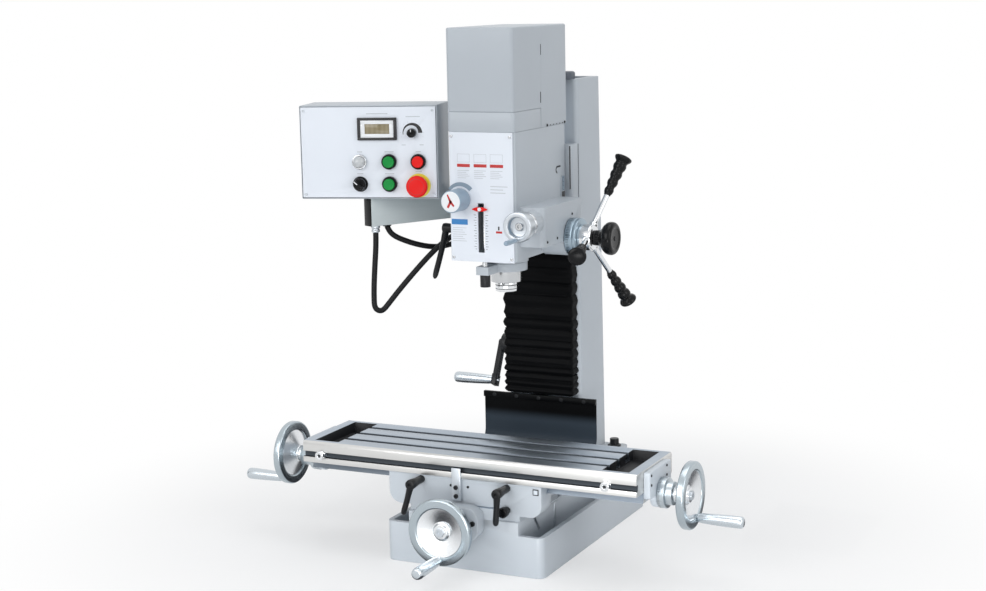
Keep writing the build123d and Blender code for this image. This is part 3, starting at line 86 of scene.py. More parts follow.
def length_value(label, description, default):
    return bpy.props.FloatProperty(
        name=label, description=description, subtype="DISTANCE", unit="LENGTH", min=0.0, default=default
    )


class MillColours(bpy.types.PropertyGroup):
    """Colours of the finishes, in linear light."""

    paint: colour_value("Paint", "Pale grey-blue paint of the castings and covers", (0.455, 0.495, 0.535))
    plate: colour_value("Plates", "White of the front plate and the control panel", (0.75, 0.79, 0.85))
    iron: colour_value("Ground iron", "Table and slide ways", (0.41, 0.47, 0.54))
    bright: colour_value("Bright metal", "Wheels, handles and spokes", (0.76, 0.78, 0.80))
    black: colour_value("Black parts", "Levers, grips and knobs", (0.012, 0.013, 0.015))
    rubber: colour_value("Rubber", "Bellows, apron and cables", (0.011, 0.012, 0.014))
    red: colour_value("Red", "Stop buttons and pointers", (0.76, 0.014, 0.012))
    green: colour_value("Green", "Run buttons", (0.010, 0.26, 0.05))
    yellow: colour_value("Yellow", "Ring of the emergency stop", (0.86, 0.72, 0.05))


class MillSizes(bpy.types.PropertyGroup):
    """Sizes of the dressing."""

    casting_edge: length_value("Casting edges", "Rounding of the castings' edges", 0.0018)
    cover_edge: length_value("Cover edges", "Rounding of the sheet covers' edges", 0.0016)
    table_edge: length_value("Machined edges", "Chamfer of the machined edges", 0.0006)
    cable_radius: length_value("Cable radius", "Radius of the two cables", 0.0055)
    lens: bpy.props.FloatProperty(
        name="Lens", description="Focal length on a 36 mm sensor", unit="CAMERA", default=65.67
    )
    key_power: bpy.props.FloatProperty(
        name="Key light", description="Power of the large front light", unit="POWER", default=56.0
    )


# Shader node groups

def new_group(name, inputs, outputs):
    """A shader node group with its input and output nodes; a value that is a tuple makes a vector socket."""
    tree = bpy.data.node_groups.new(name, "ShaderNodeTree")
    for way, sockets in (("INPUT", inputs), ("OUTPUT", outputs)):
        for label, value in sockets.items():
            kind = "NodeSocketVector" if isinstance(value, tuple) else "NodeSocketFloat"
            tree.interface.new_socket(label, in_out=way, socket_type=kind).default_value = value
    return tree, tree.nodes.new("NodeGroupInput"), tree.nodes.new("NodeGroupOutput")


def feed(tree, value, socket):
    """Links another socket into this one, or sets a plain value on it."""
    if isinstance(value, bpy.types.NodeSocket):
        tree.links.new(value, socket)
    else:
        socket.default_value = value


def fill(tree, node, values):
    """Feeds the named inputs of a node."""
    for label, value in values.items():
        feed(tree, value, node.inputs[label])


def operation_node(tree, kind, operation, values):
    node = tree.nodes.new(kind)
    node.operation = operation
    for value, socket in zip(values, node.inputs):
        feed(tree, value, socket)
    return node


def math_node(tree, operation, *values):
    return operation_node(tree, "ShaderNodeMath", operation, values).outputs[0]


def vector_node(tree, operation, *values):
    return operation_node(tree, "ShaderNodeVectorMath", operation, values)


def grain_group():
    """Broad mottling, a fine grain and small scratches over a surface."""
    tree, ins, outs = new_group(
        "Surface Grain",
        {"Vector": (0, 0, 0), "Stretch": (1, 1, 1), "Broad Scale": 12.0, "Fine Scale": 600.0},
        {"Broad": 0.0, "Fine": 0.0, "Marks": 0.0},
    )
    where, fine_scale = ins.outputs["Vector"], ins.outputs["Fine Scale"]
    stretched = vector_node(tree, "MULTIPLY", where, ins.outputs["Stretch"]).outputs[0]
    marks_scale = math_node(tree, "MULTIPLY", fine_scale, 0.13)
    for label, vector, scale, detail, roughness in (
        ("Broad", where, ins.outputs["Broad Scale"], 4.0, 0.55), ("Fine", stretched, fine_scale, 2.0, 0.55),
        ("Marks", stretched, marks_scale, 5.0, 0.7),
    ):
        noise = tree.nodes.new("ShaderNodeTexNoise")
        fill(tree, noise, {"Vector": vector, "Scale": scale, "Detail": detail, "Roughness": roughness})
        tree.links.new(noise.outputs["Fac"], outs.inputs[label])
    return tree


def edge_group():
    """A softened edge normal, and a mask that is strong along worn edges."""
    tree, ins, outs = new_group(
        "Worn Edge", {"Radius": 0.001, "Breakup": 0.5, "Amount": 1.0}, {"Normal": (0, 0, 0), "Mask": 0.0}
    )
    bevel = tree.nodes.new("ShaderNodeBevel")
    bevel.samples = 4
    geometry = tree.nodes.new("ShaderNodeNewGeometry")
    tree.links.new(ins.outputs["Radius"], bevel.inputs["Radius"])
    turn = vector_node(tree, "DOT_PRODUCT", bevel.outputs[0], geometry.outputs["Normal"]).outputs["Value"]
    away = math_node(tree, "SUBTRACT", 1.0, turn)
    broken = math_node(tree, "MULTIPLY", math_node(tree, "MULTIPLY", away, 3.0), ins.outputs["Breakup"])
    limited = math_node(tree, "MINIMUM", math_node(tree, "MULTIPLY", broken, ins.outputs["Amount"]), 1.0)
    fill(tree, outs, {"Normal": bevel.outputs[0], "Mask": limited})
    return tree


def turning_group():
    """Fine rings about an object's own Z axis, as a lathe tool leaves them."""
    tree, ins, outs = new_group(
        "Turning Marks", {"Vector": (0, 0, 0), "Rings": 2500.0}, {"Height": 0.0, "Shade": 0.0}
    )
    flat = vector_node(tree, "MULTIPLY", ins.outputs["Vector"], (1.0, 1.0, 0.0)).outputs[0]
    radius = vector_node(tree, "LENGTH", flat).outputs["Value"]
    split = tree.nodes.new("ShaderNodeSeparateXYZ")
    tree.links.new(ins.outputs["Vector"], split.inputs[0])
    along = math_node(tree, "ADD", radius, split.outputs["Z"])
    for label, scale, detail in (("Height", 1.0, 2.0), ("Shade", 0.06, 4.0)):
        noise = tree.nodes.new("ShaderNodeTexNoise")
        noise.noise_dimensions = "1D"
        rings = math_node(tree, "MULTIPLY", ins.outputs["Rings"], scale)
        fill(tree, noise, {"W": along, "Scale": rings, "Detail": detail})
        tree.links.new(noise.outputs["Fac"], outs.inputs[label])
    return tree


def graduation_group():
    """Dial lines about an object's own Z axis: every tenth line is longer."""
    tree, ins, outs = new_group(
        "Graduations",
        {"Vector": (0, 0, 0), "Lines": 100.0, "Width": 0.22, "Start": 0.001, "Short": 0.005, "Long": 0.009},
        {"Mask": 0.0},
    )
    lines, width, start = (ins.outputs[label] for label in ("Lines", "Width", "Start"))
    split = tree.nodes.new("ShaderNodeSeparateXYZ")
    tree.links.new(ins.outputs["Vector"], split.inputs[0])
    angle = math_node(tree, "ARCTAN2", split.outputs["Y"], split.outputs["X"])
    turn = math_node(tree, "ADD", math_node(tree, "DIVIDE", angle, 2 * math.pi), 0.5)

    def line(count, thick):
        phase = math_node(tree, "FRACT", math_node(tree, "MULTIPLY", turn, count))
        away = math_node(tree, "ABSOLUTE", math_node(tree, "SUBTRACT", phase, 0.5))
        return math_node(tree, "LESS_THAN", away, math_node(tree, "MULTIPLY", thick, 0.5))

    def band(length):
        above = math_node(tree, "GREATER_THAN", split.outputs["Z"], start)
        below = math_node(tree, "LESS_THAN", split.outputs["Z"], math_node(tree, "ADD", start, length))
        return math_node(tree, "MULTIPLY", above, below)

    short = math_node(tree, "MULTIPLY", line(lines, width), band(ins.outputs["Short"]))
    tenth = math_node(tree, "MULTIPLY", lines, 0.1)
    narrow = math_node(tree, "MULTIPLY", width, 0.1)
    long = math_node(tree, "MULTIPLY", line(tenth, narrow), band(ins.outputs["Long"]))
    tree.links.new(math_node(tree, "MAXIMUM", short, long), outs.inputs["Mask"])
    return tree


groups = {}


def placed_group(tree, name, **values):
    """Places a shared node group in a material with its own values or links."""
    makers = {
        "grain": grain_group, "edge": edge_group, "turning": turning_group, "graduation": graduation_group,
    }
    if name not in groups:
        groups[name] = makers[name]()
    node = tree.nodes.new("ShaderNodeGroup")
    node.node_tree = groups[name]
    fill(tree, node, {label.replace("_", " ").title(): value for label, value in values.items()})
    return node


# Materials

finishes = {}
bump_depth = 0.0002


def start_material(name):
    """A new finish: its node tree, its shader and its object coordinates."""
    material = bpy.data.materials.new(name)
    material.use_nodes = True
    finishes[name] = material
    tree = material.node_tree
    return tree, tree.nodes["Principled BSDF"], tree.nodes.new("ShaderNodeTexCoord").outputs["Object"]


def blended(tree, factor, low, high):
    """Mixes two colours, each a value or a socket, by a factor."""
    node = tree.nodes.new("ShaderNodeMix")
    node.data_type = "RGBA"
    tree.links.new(factor, node.inputs["Factor"])
    for value, socket in ((low, node.inputs[6]), (high, node.inputs[7])):
        feed(tree, value if isinstance(value, bpy.types.NodeSocket) else (*value[:3], 1.0), socket)
    return node.outputs[2]


def ranged(tree, value, low, high, start=None, end=None):
    """Maps a value from 0 and 1 to low and high, or smoothly from a start and an end of its own."""
    node = tree.nodes.new("ShaderNodeMapRange")
    fill(tree, node, {"Value": value, "To Min": low, "To Max": high})
    if start is not None:
        fill(tree, node, {"From Min": start, "From Max": end})
        node.interpolation_type = "SMOOTHSTEP"
    return node.outputs["Result"]


def shade(colour, factor):
    return tuple(min(1.0, part * factor) for part in colour[:3])


def surface(
    name, colour, roughness, metallic=0.0, spread=0.06, broad=9.0, fine=700.0, bump=0.05,
    stretch=(1, 1, 1), edge=0.0008, wear=0.0, worn=(0.6, 0.6, 0.6), coat=0.0, rough_spread=0.07, marks=0.0,
    turned=False, anisotropic=0.0, graduated=None, specular=0.5,
):
    """A finish with mottled colour, varying gloss, a fine bump and soft, slightly worn edges."""
    tree, shader, where = start_material(name)
    grain = placed_group(tree, "grain", vector=where, stretch=stretch, broad_scale=broad, fine_scale=fine)
    base = blended(tree, grain.outputs["Broad"], shade(colour, 1 - spread), shade(colour, 1 + spread))
    if marks:
        strength = ranged(tree, grain.outputs["Marks"], 0.0, marks)
        base = blended(tree, strength, base, shade(colour, 0.55))
    height = grain.outputs["Fine"]
    if turned:
        rings = placed_group(tree, "turning", vector=where)
        height = rings.outputs["Height"]
        base = blended(tree, ranged(tree, rings.outputs["Shade"], 0.0, 0.5), base, shade(colour, 0.72))
    soft = placed_group(tree, "edge", radius=edge, breakup=grain.outputs["Marks"], amount=wear)
    if wear:
        base = blended(tree, soft.outputs["Mask"], base, worn)
    if graduated:
        lines = placed_group(tree, "graduation", vector=where, **graduated)
        base = blended(tree, lines.outputs["Mask"], base, (0.02, 0.02, 0.025))
    relief = tree.nodes.new("ShaderNodeBump")
    normal = soft.outputs["Normal"]
    fill(tree, relief, {"Strength": bump, "Distance": bump_depth, "Height": height, "Normal": normal})
    low, high = max(0.03, roughness - rough_spread), roughness + rough_spread
    fill(tree, shader, {
        "Base Color": base, "Roughness": ranged(tree, grain.outputs["Marks"], low, high),
        "Metallic": metallic, "Specular IOR Level": specular, "Coat Weight": coat, "Coat Roughness": 0.15,
        "Normal": relief.outputs["Normal"],
    })
    if anisotropic:
        tangent = tree.nodes.new("ShaderNodeTangent")
        tangent.direction_type = "RADIAL"
        tangent.axis = "Z"
        fill(tree, shader, {"Anisotropic": anisotropic, "Tangent": tangent.outputs[0]})
    return tree, shader


def make_finishes(colours):
    """Every finish of the machine."""
    paint, plate, iron, bright = colours.paint, colours.plate, colours.iron, colours.bright
    black, rubber = colours.black, colours.rubber
    painted = {"spread": 0.035, "fine": 900, "bump": 0.10, "coat": 0.10, "wear": 0.25}
    surface("machine_paint", paint, 0.45, worn=shade(paint, 1.4), **painted)
    surface("bracket_paint", shade(paint, 1.3), 0.38, worn=shade(paint, 1.6), **painted)
    surface("trough_paint", shade(paint, 0.62), 0.55, marks=0.3, **painted)
    surface("slate_paint", (0.075, 0.09, 0.115), 0.5, worn=(0.3, 0.32, 0.35), **painted)
    surface(
        "plate_white", plate, 0.42, spread=0.02, fine=1200, bump=0.03, coat=0.02, edge=0.0004, specular=0.2,
    )
    ground = {"spread": 0.10, "broad": 5, "fine": 160, "bump": 0.05, "stretch": (0.12, 6, 6), "edge": 0.0006}
    surface("ground_iron", iron, 0.36, 1.0, marks=0.18, wear=0.4, worn=(0.7, 0.73, 0.76), **ground)
    # A lighter, neutral copy of the ground iron for the table's front edge and ends: painted highlight
    surface("table_front", (0.69, 0.69, 0.68), 0.37, 1.0, marks=0.10, **ground)
    # Darker copies of the ground iron: painted shade in the table's T-slots, in its dog groove and along the
    # rails under it
    surface("slot_iron", shade(iron, 0.35), 0.40, 1.0, marks=0.4, **ground)
    surface("groove_iron", shade(iron, 0.16), 0.45, 1.0, marks=0.4, **ground)
    surface("rail_iron", shade(iron, 0.6), 0.45, 1.0, marks=0.4, **ground)
    surface("trough_black", (0.010, 0.011, 0.013), 0.42, spread=0.3, fine=500, bump=0.1, specular=0.3)
    along = {"spread": 0.08, "fine": 260, "bump": 0.05, "stretch": (6, 6, 0.3), "edge": 0.0005}
    surface("ground_steel", shade(bright, 0.75), 0.22, 1.0, marks=0.2, **along)
    machined = {"spread": 0.05, "fine": 500, "bump": 0.02, "marks": 0.08, "edge": 0.0006}
    surface("bright_metal", bright, 0.15, 1.0, **machined)
    surface("handle_metal", (0.58, 0.63, 0.67), 0.27, 1.0, **machined)
    lathe = {"spread": 0.04, "bump": 0.02, "turned": True}
    surface(
        "wheel_rim_metal", (0.44, 0.50, 0.54), 0.26, 1.0, spread=0.03, fine=500, bump=0.005,
        rough_spread=0.02, edge=0.0006,
    )
    surface("wheel_dish_metal", shade(bright, 1.1), 0.22, 1.0, anisotropic=0.75, edge=0.0006, **lathe)
    surface("plated_steel", (0.55, 0.59, 0.63), 0.40, 0.8, spread=0.04, fine=600, bump=0.03, edge=0.0006)
    dial_lines = {"start": 0.0015, "short": 0.005, "long": 0.009}
    surface("dial_metal", (0.56, 0.62, 0.66), 0.30, 1.0, edge=0.0004, graduated=dial_lines, **lathe)
    feed_lines = {"lines": 70.0, "start": 0.003, "short": 0.006, "long": 0.010}
    surface("feed_dial_metal", (0.36, 0.45, 0.52), 0.34, 1.0, edge=0.0004, graduated=feed_lines, **lathe)
    surface("satin_alloy", (0.60, 0.64, 0.68), 0.30, 0.9, edge=0.0006, **lathe)
    surface(
        "brushed_arm", (0.56, 0.62, 0.63), 0.45, 0.25, spread=0.05, fine=220, bump=0.06,
        stretch=(0.5, 0.5, 8), marks=0.15,
    )
    surface(
        "black_steel", black, 0.38, spread=0.3, fine=900, bump=0.08, wear=0.08, worn=(0.10, 0.10, 0.11),
        specular=0.3,
    )
    surface("black_plastic", shade(black, 0.4), 0.22, spread=0.25, fine=1400, bump=0.05, specular=0.18)
    surface("lever_black", shade(black, 0.7), 0.40, spread=0.3, fine=1100, bump=0.12, specular=0.22)
    surface("cable_rubber", shade(rubber, 0.5), 0.42, spread=0.3, fine=1500, bump=0.10, specular=0.2)
    apron_with_painted_sheen(shade(rubber, 0.22))
    surface(
        "bellows_cloth", shade(rubber, 0.22), 0.55, spread=0.35, broad=14, fine=1600, bump=0.16,
        stretch=(1, 1, 2.5), specular=0.06,
    )
    surface("bronze", (0.50, 0.33, 0.16), 0.3, 1.0, spread=0.12, fine=400, bump=0.04, marks=0.2)
    moulded = {"spread": 0.06, "fine": 1500, "bump": 0.03, "edge": 0.0006}
    surface("red_plastic", colours.red, 0.34, specular=0.16, **moulded)
    surface("green_plastic", colours.green, 0.34, specular=0.16, **moulded)
    surface("yellow_plastic", colours.yellow, 0.35, coat=0.2, **moulded)
    surface("knob_grey", (0.27, 0.36, 0.45), 0.34, coat=0.15, **moulded)
    surface("knob_white", (0.80, 0.82, 0.84), 0.32, coat=0.2, **moulded)
    printed = {"spread": 0.08, "fine": 1500, "bump": 0.02, "edge": 0.0001}
    for name, ink, roughness in (
        ("black", (0.014, 0.014, 0.016), 0.45), ("red", (0.50, 0.025, 0.022), 0.42),
        ("blue", (0.03, 0.20, 0.48), 0.42), ("grey", (0.50, 0.53, 0.56), 0.45),
        ("steel", (0.22, 0.29, 0.36), 0.42),
    ):
        surface("print_" + name, ink, roughness, **printed)
    # Near-black finish for thin strips over gaps, slots, bores and grooves: painted shade where the openings
    # fall dark
    surface("dark_gap", (0.02, 0.022, 0.026), 0.6, spread=0.2, fine=700, bump=0.08)
    glass_window()
    lamp_lens()


def apron_with_painted_sheen(colour):
    """Rubber that turns slate grey towards its foot: a painted sheen standing for the bright surroundings it
    reflects low down.
    """
    tree, shader = surface(
        "apron_rubber", colour, 0.36, spread=0.35, broad=7, fine=1100, bump=0.06, marks=0.2, specular=0.07,
    )
    # Below these heights the black blends to slate grey: painted sheen
    foot_low, foot_high = 0.204, 0.229
    split = tree.nodes.new("ShaderNodeSeparateXYZ")
    tree.links.new(tree.nodes.new("ShaderNodeTexCoord").outputs["Object"], split.inputs[0])
    painted_sheen = ranged(tree, split.outputs["Z"], 1.0, 0.0, foot_low, foot_high)
    plain_rubber = shader.inputs["Base Color"].links[0].from_socket
    tree.links.new(blended(tree, painted_sheen, plain_rubber, (0.045, 0.060, 0.078)), shader.inputs["Base Color"])


def glass_window():
    """The display's window: dull brown-grey segments under a glossy cover."""
    tree, shader, where = start_material("display_window")
    wave = tree.nodes.new("ShaderNodeTexWave")
    wave.bands_direction = "X"
    fill(tree, wave, {"Vector": where, "Scale": 34.0, "Distortion": 0.4})
    colour = blended(tree, wave.outputs["Fac"], (0.26, 0.215, 0.125), (0.31, 0.265, 0.165))
    grain = placed_group(tree, "grain", vector=where, broad_scale=40.0, fine_scale=900.0)
    clouded = blended(tree, ranged(tree, grain.outputs["Broad"], 0, 0.35), colour, (0.20, 0.18, 0.13))
    fill(tree, shader, {
        "Base Color": clouded, "Roughness": ranged(tree, grain.outputs["Fine"], 0.08, 0.18),
        "Specular IOR Level": 0.3, "Coat Weight": 0.2,
    })


def lamp_lens():
    """The clear lens of the panel lamp over a pale reflector."""
    tree, shader, where = start_material("lamp_lens")
    grain = placed_group(tree, "grain", vector=where, broad_scale=60.0, fine_scale=900.0)
    cloudy = blended(tree, grain.outputs["Broad"], (0.62, 0.66, 0.68), (0.86, 0.88, 0.90))
    fill(tree, shader, {
        "Base Color": cloudy, "Roughness": ranged(tree, grain.outputs["Fine"], 0.06, 0.16),
        "Transmission Weight": 0.35, "IOR": 1.49, "Coat Weight": 0.5,
    })


# The record's slot of each finish
slot_of = {
    finish: slot
    for slot, names in {
        "machine_paint": ("machine_paint", "bracket_paint", "trough_paint", "knob_grey"),
        "plate_white": ("plate_white",), "ground_iron": ("ground_iron", "table_front"),
        "ground_steel": ("ground_steel",), "bronze": ("bronze",), "red_plastic": ("red_plastic",),
        "bright_metal": (
            "bright_metal", "wheel_rim_metal", "wheel_dish_metal", "handle_metal", "dial_metal",
            "feed_dial_metal", "brushed_arm", "satin_alloy", "plated_steel",
        ),
        "black_steel": ("black_steel", "slate_paint"), "black_plastic": ("black_plastic", "lever_black"),
        "rubber_black": ("cable_rubber", "apron_rubber", "bellows_cloth"),
        "green_plastic": ("green_plastic",), "white_plastic": ("knob_white",),
    }.items()
    for finish in names
}


# Shape building

limb_sides = 20
tiny = 1e-6
flat_turn, least_turn, sharp_turn, open_turn = (math.radians(angle) for angle in (0.3, 24, 25, 160))


def upright(x, y, z):
    return Matrix.Translation(Vector((x, y, z)) * MM)


def spin(degrees, axis="Z"):
    return Matrix.Rotation(math.radians(degrees), 4, axis)


def front(x, y, z):
    """A place whose local Z points to the front and whose local Y points up."""
    return upright(x, y, z) @ spin(90, "X")


def right(x, y, z):
    return upright(x, y, z) @ spin(90, "Y")


def left(x, y, z):
    return upright(x, y, z) @ spin(-90, "Y")


def axes(origin, x_way, z_way):
    """A place from its origin in millimetres and the ways of its local X and Z."""
    z_axis = Vector(z_way).normalized()
    x_axis = Vector(x_way).normalized()
    y_axis = z_axis.cross(x_axis)
    turn = Matrix((x_axis, y_axis, z_axis)).transposed().to_4x4()
    return Matrix.Translation(Vector(origin) * MM) @ turn


def on_circle(radius, degrees):
    angle = math.radians(degrees)
    return radius * math.cos(angle), radius * math.sin(angle)


def polar(radius, degrees, height):
    return upright(*on_circle(radius, degrees), height)


# Local X along the machine's Y, local Y along its Z, so that outlines are seen from the right
sideways = axes((0, 0, 0), (0, 1, 0), (1, 0, 0))


def softened(outline, radius, closed):
    """Rounds the corners of an outline with short arcs."""
    count = len(outline)
    result = []
    for index, here in enumerate(outline):
        inner = closed or 0 < index < count - 1
        point = Vector(here[:2])
        if not inner or len(here) > 2 or radius <= 0:
            result.append(here)
            continue
        before = Vector(outline[index - 1][:2]) - point
        after = Vector(outline[(index + 1) % count][:2]) - point
        if min(before.length, after.length) < tiny or before.angle(after) > open_turn:
            result.append(here)
            continue
        reach = min(radius, before.length * 0.45, after.length * 0.45)
        start = point + before.normalized() * reach
        end = point + after.normalized() * reach
        for share in (0.0, 0.33, 0.67, 1.0):
            curve = start * (1 - share) ** 2 + point * 2 * share * (1 - share) + end * share ** 2
            result.append((max(0.0, curve.x) if not closed else curve.x, curve.y))
    return result


def hexagon(angle):
    """The share of a hexagon's corner radius at an angle."""
    step = math.radians(60)
    return math.cos(step / 2) / math.cos((angle % step) - step / 2)


def tube(inner, outer, low, high):
    """The outline of a plain tube, or of a rod where the inner radius is nought."""
    return [(inner, low), (outer, low), (outer, high), (inner, high)]


def mesh_of(name, part):
    data = bpy.data.meshes.new(name)
    part.to_mesh(data)
    part.free()
    return data


def new_object(name, data):
    piece = bpy.data.objects.new(name, data)
    bpy.context.scene.collection.objects.link(piece)
    return piece


def skin(part, rings, closed=False):
    """Faces between rings of points that follow each other; a ring of one point is a tip."""
    pairs = list(zip(rings, rings[1:]))
    if closed:
        pairs.append((rings[-1], rings[0]))
    steps = max(len(ring) for ring in rings)
    for low, high in pairs:
        for step in range(steps):
            after = (step + 1) % steps
            corners = []
            for ring, order in ((low, (step, after)), (high, (after, step))):
                corners += [ring[0]] if len(ring) == 1 else [ring[place] for place in order]
            if len(set(corners)) > 2:
                part.faces.new(corners)


class Shape:
    """Collects closed solids, each with its own finish, into one piece. Sizes are in millimetres."""

    def __init__(self):
        self.mesh = bmesh.new()
        self.finishes = []

    def take(self, part, finish, where):
        if finish not in self.finishes:
            self.finishes.append(finish)
        index = self.finishes.index(finish)
        bmesh.ops.recalc_face_normals(part, faces=part.faces)
        for face in part.faces:
            face.material_index = index
            face.smooth = True
        bmesh.ops.transform(part, matrix=where @ Matrix.Scale(MM, 4), verts=part.verts)
        data = mesh_of("part", part)
        self.mesh.from_mesh(data)
        bpy.data.meshes.remove(data)
        return self

    def turn(self, outline, finish, where=UP, steps=64, soft=0.5, lobes=None):
        """An outline of (radius, height) turned about local Z; a third entry makes that ring a hexagon."""
        closed = min(outline[0][0], outline[-1][0]) > tiny
        outline = softened(outline, soft, closed)
        part = bmesh.new()
        rings = []
        for point in outline:
            radius, height = point[:2]
            if radius < tiny:
                rings.append([part.verts.new((0, 0, height))])
                continue
            ring = []
            for step in range(steps):
                angle = 2 * math.pi * step / steps
                here = radius * hexagon(angle) if len(point) > 2 else radius
                if lobes:
                    here *= lobes(angle, radius, height)
                ring.append(part.verts.new((here * math.cos(angle), here * math.sin(angle), height)))
            rings.append(ring)
        skin(part, rings, closed)
        return self.take(part, finish, where)

    def prism(self, outline, low, high, finish, where=UP, edge=0.5):
        """An (x, y) outline drawn out along local Z, with its sharp edges rounded."""
        part = bmesh.new()
        floor = [part.verts.new((x, y, low)) for x, y in outline]
        roof = [part.verts.new((x, y, high)) for x, y in outline]
        part.faces.new(list(reversed(floor)))
        part.faces.new(roof)
        skin(part, [floor, roof])
        bmesh.ops.recalc_face_normals(part, faces=part.faces)
        if edge > 0:
            sharp = [line for line in part.edges if line.calc_face_angle(0.0) > sharp_turn]
            bmesh.ops.bevel(
                part, geom=sharp, offset=edge, segments=2, profile=0.5, affect="EDGES", clamp_overlap=True
            )
        return self.take(part, finish, where)

    def block(self, x0, x1, y0, y1, z0, z1, finish, where=UP, edge=0.5):
        return self.prism([(x0, y0), (x1, y0), (x1, y1), (x0, y1)], z0, z1, finish, where, edge)

    def limb(self, path, sizes, finish):
        """A rounded limb along points, with a (width, height) half size at each point."""
        points = [Vector(point) for point in path]
        part = bmesh.new()
        rings = []
        across = None
        for index, point in enumerate(points):
            way = points[min(index + 1, len(points) - 1)] - points[max(index - 1, 0)]
            way.normalize()
            if across is None:
                across = way.orthogonal().normalized()
            across = (across - way * across.dot(way)).normalized()
            over = way.cross(across)
            wide, tall = sizes[index]
            ring = []
            for step in range(limb_sides):
                angle = 2 * math.pi * step / limb_sides
                ring.append(part.verts.new(
                    point + across * wide * math.cos(angle) + over * tall * math.sin(angle)
                ))
            rings.append(ring)
        skin(part, rings)
        part.faces.new(rings[0])
        part.faces.new(rings[-1])
        return self.take(part, finish, UP)

    def make(self, name, body, replaces=(), slot=None, local=None, sharp=38):
        """Turns the collected solids into an object that rides on a body."""
        data = mesh_of(name, self.mesh)
        data.set_sharp_from_angle(angle=math.radians(sharp))
        for finish in self.finishes:
            data.materials.append(finishes[finish])
        piece = new_object(name, data)
        if local is not None:
            piece.matrix_world = local
        if body:
            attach(piece, body)
        if replaces:
            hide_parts(*replaces)
        return piece

    def stand_for(self, node, name, place=None):
        """Makes the piece that replaces a node on the body of the same name."""
        self.make(name, node, (node,), local=place)


def dressed(node, finish, edge=1.0, others=(), skip=None):
    """A CAD solid with rounded edges; each of the others is a finish with the rule for its faces."""
    part = bmesh.new()
    part.from_mesh(frame["nodes"][node].data)
    bmesh.ops.remove_doubles(part, verts=part.verts, dist=tiny)
    bmesh.ops.dissolve_limit(
        part, angle_limit=flat_turn, use_dissolve_boundaries=False, verts=part.verts, edges=part.edges
    )
    for face in part.faces:
        face.smooth = True
        face.material_index = 0
        centre = face.calc_center_median() / MM
        for index, (name, rule) in enumerate(others, 1):
            if rule(centre, face.normal):
                face.material_index = index
    if edge > 0:
        sharp = []
        for line in part.edges:
            if len(line.link_faces) != 2 or line.calc_face_angle(0.0) < least_turn:
                continue
            if skip is None or not skip((line.verts[0].co + line.verts[1].co) / (2 * MM)):
                sharp.append(line)
        bmesh.ops.bevel(
            part, geom=sharp, offset=edge * MM, segments=2, profile=0.5, affect="EDGES",
            clamp_overlap=True, material=-1,
        )
    shape = Shape()
    shape.mesh.free()
    shape.mesh = part
    shape.finishes = [finish, *(name for name, rule in others)]
    shape.make(node + "_dressed", frame["nodes"][node]["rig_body"], (node,), slot_of[finish])


def kept(node, finish):
    """A CAD solid that stays as it is and gets a finish."""
    data = frame["nodes"][node].data
    data.materials.clear()
    data.materials.append(finishes[finish])


# Camera, floor and light

def build_camera(sizes):
    eye = Vector((1.4864, -3.1812, 1.0883))
    turn, lift, roll = math.radians(25.80), math.radians(9.73), math.radians(-1.15)
    back = Vector((math.sin(turn) * math.cos(lift), -math.cos(turn) * math.cos(lift), math.sin(lift)))
    level = Vector((math.cos(turn), math.sin(turn), 0.0))
    over = back.cross(level)
    across = level * math.cos(roll) + over * math.sin(roll)
    above = over * math.cos(roll) - level * math.sin(roll)
    data = bpy.data.cameras.new("photo_camera")
    data.lens = sizes.lens
    data.sensor_width = 36.0
    data.sensor_fit = "HORIZONTAL"
    data.clip_end = 100.0
    camera = new_object("photo_camera", data)
    camera.matrix_world = Matrix.Translation(eye) @ Matrix((across, above, back)).transposed().to_4x4()
    bpy.context.scene.camera = camera


def seen_directly(tree):
    """One for camera, glossy and transmitted rays."""
    path = tree.nodes.new("ShaderNodeLightPath")
    first = math_node(tree, "MAXIMUM", path.outputs["Is Camera Ray"], path.outputs["Is Glossy Ray"])
    return math_node(tree, "MAXIMUM", first, path.outputs["Is Transmission Ray"])


def mix_shaders(tree, factor, first, second, output):
    """Sends a mix of two shaders to the output node."""
    mix = tree.nodes.new("ShaderNodeMixShader")
    for value, socket in zip((factor, first.outputs[0], second.outputs[0]), mix.inputs):
        tree.links.new(value, socket)
    tree.links.new(mix.outputs[0], tree.nodes[output].inputs["Surface"])


def build_floor():
    """A pale floor that keeps the shadow near the machine and turns plain white away from it."""
    near_glow, near, far = 0.45, 0.45, 1.15
    part = bmesh.new()
    bmesh.ops.create_grid(part, x_segments=8, y_segments=8, size=9.0)
    floor = new_object("floor", mesh_of("floor", part))
    floor.location.z = -0.0005
    tree, shader, where = start_material("floor_white")
    grain = placed_group(tree, "grain", vector=where, broad_scale=1.5, fine_scale=80.0)
    colour = blended(tree, grain.outputs["Broad"], (0.93, 0.93, 0.93), (0.96, 0.96, 0.96))
    fill(tree, shader, {"Base Color": colour, "Roughness": 0.7, "Specular IOR Level": 0.1})
    glow = tree.nodes.new("ShaderNodeEmission")
    away = ranged(tree, vector_node(tree, "LENGTH", where).outputs["Value"], near_glow, 1.0, near, far)
    factor = math_node(tree, "MULTIPLY", away, seen_directly(tree))
    mix_shaders(tree, factor, shader, glow, "Material Output")
    floor.data.materials.append(finishes["floor_white"])


def area_light(name, power, size, place, target, spread=180):
    data = bpy.data.lights.new(name, "AREA")
    data.energy = power
    data.shape = "RECTANGLE"
    data.size, data.size_y = size
    data.spread = math.radians(spread)
    light = new_object(name, data)
    light.location = place
    light.rotation_euler = (Vector(target) - Vector(place)).to_track_quat("-Z", "Y").to_euler()
    light.visible_camera = False


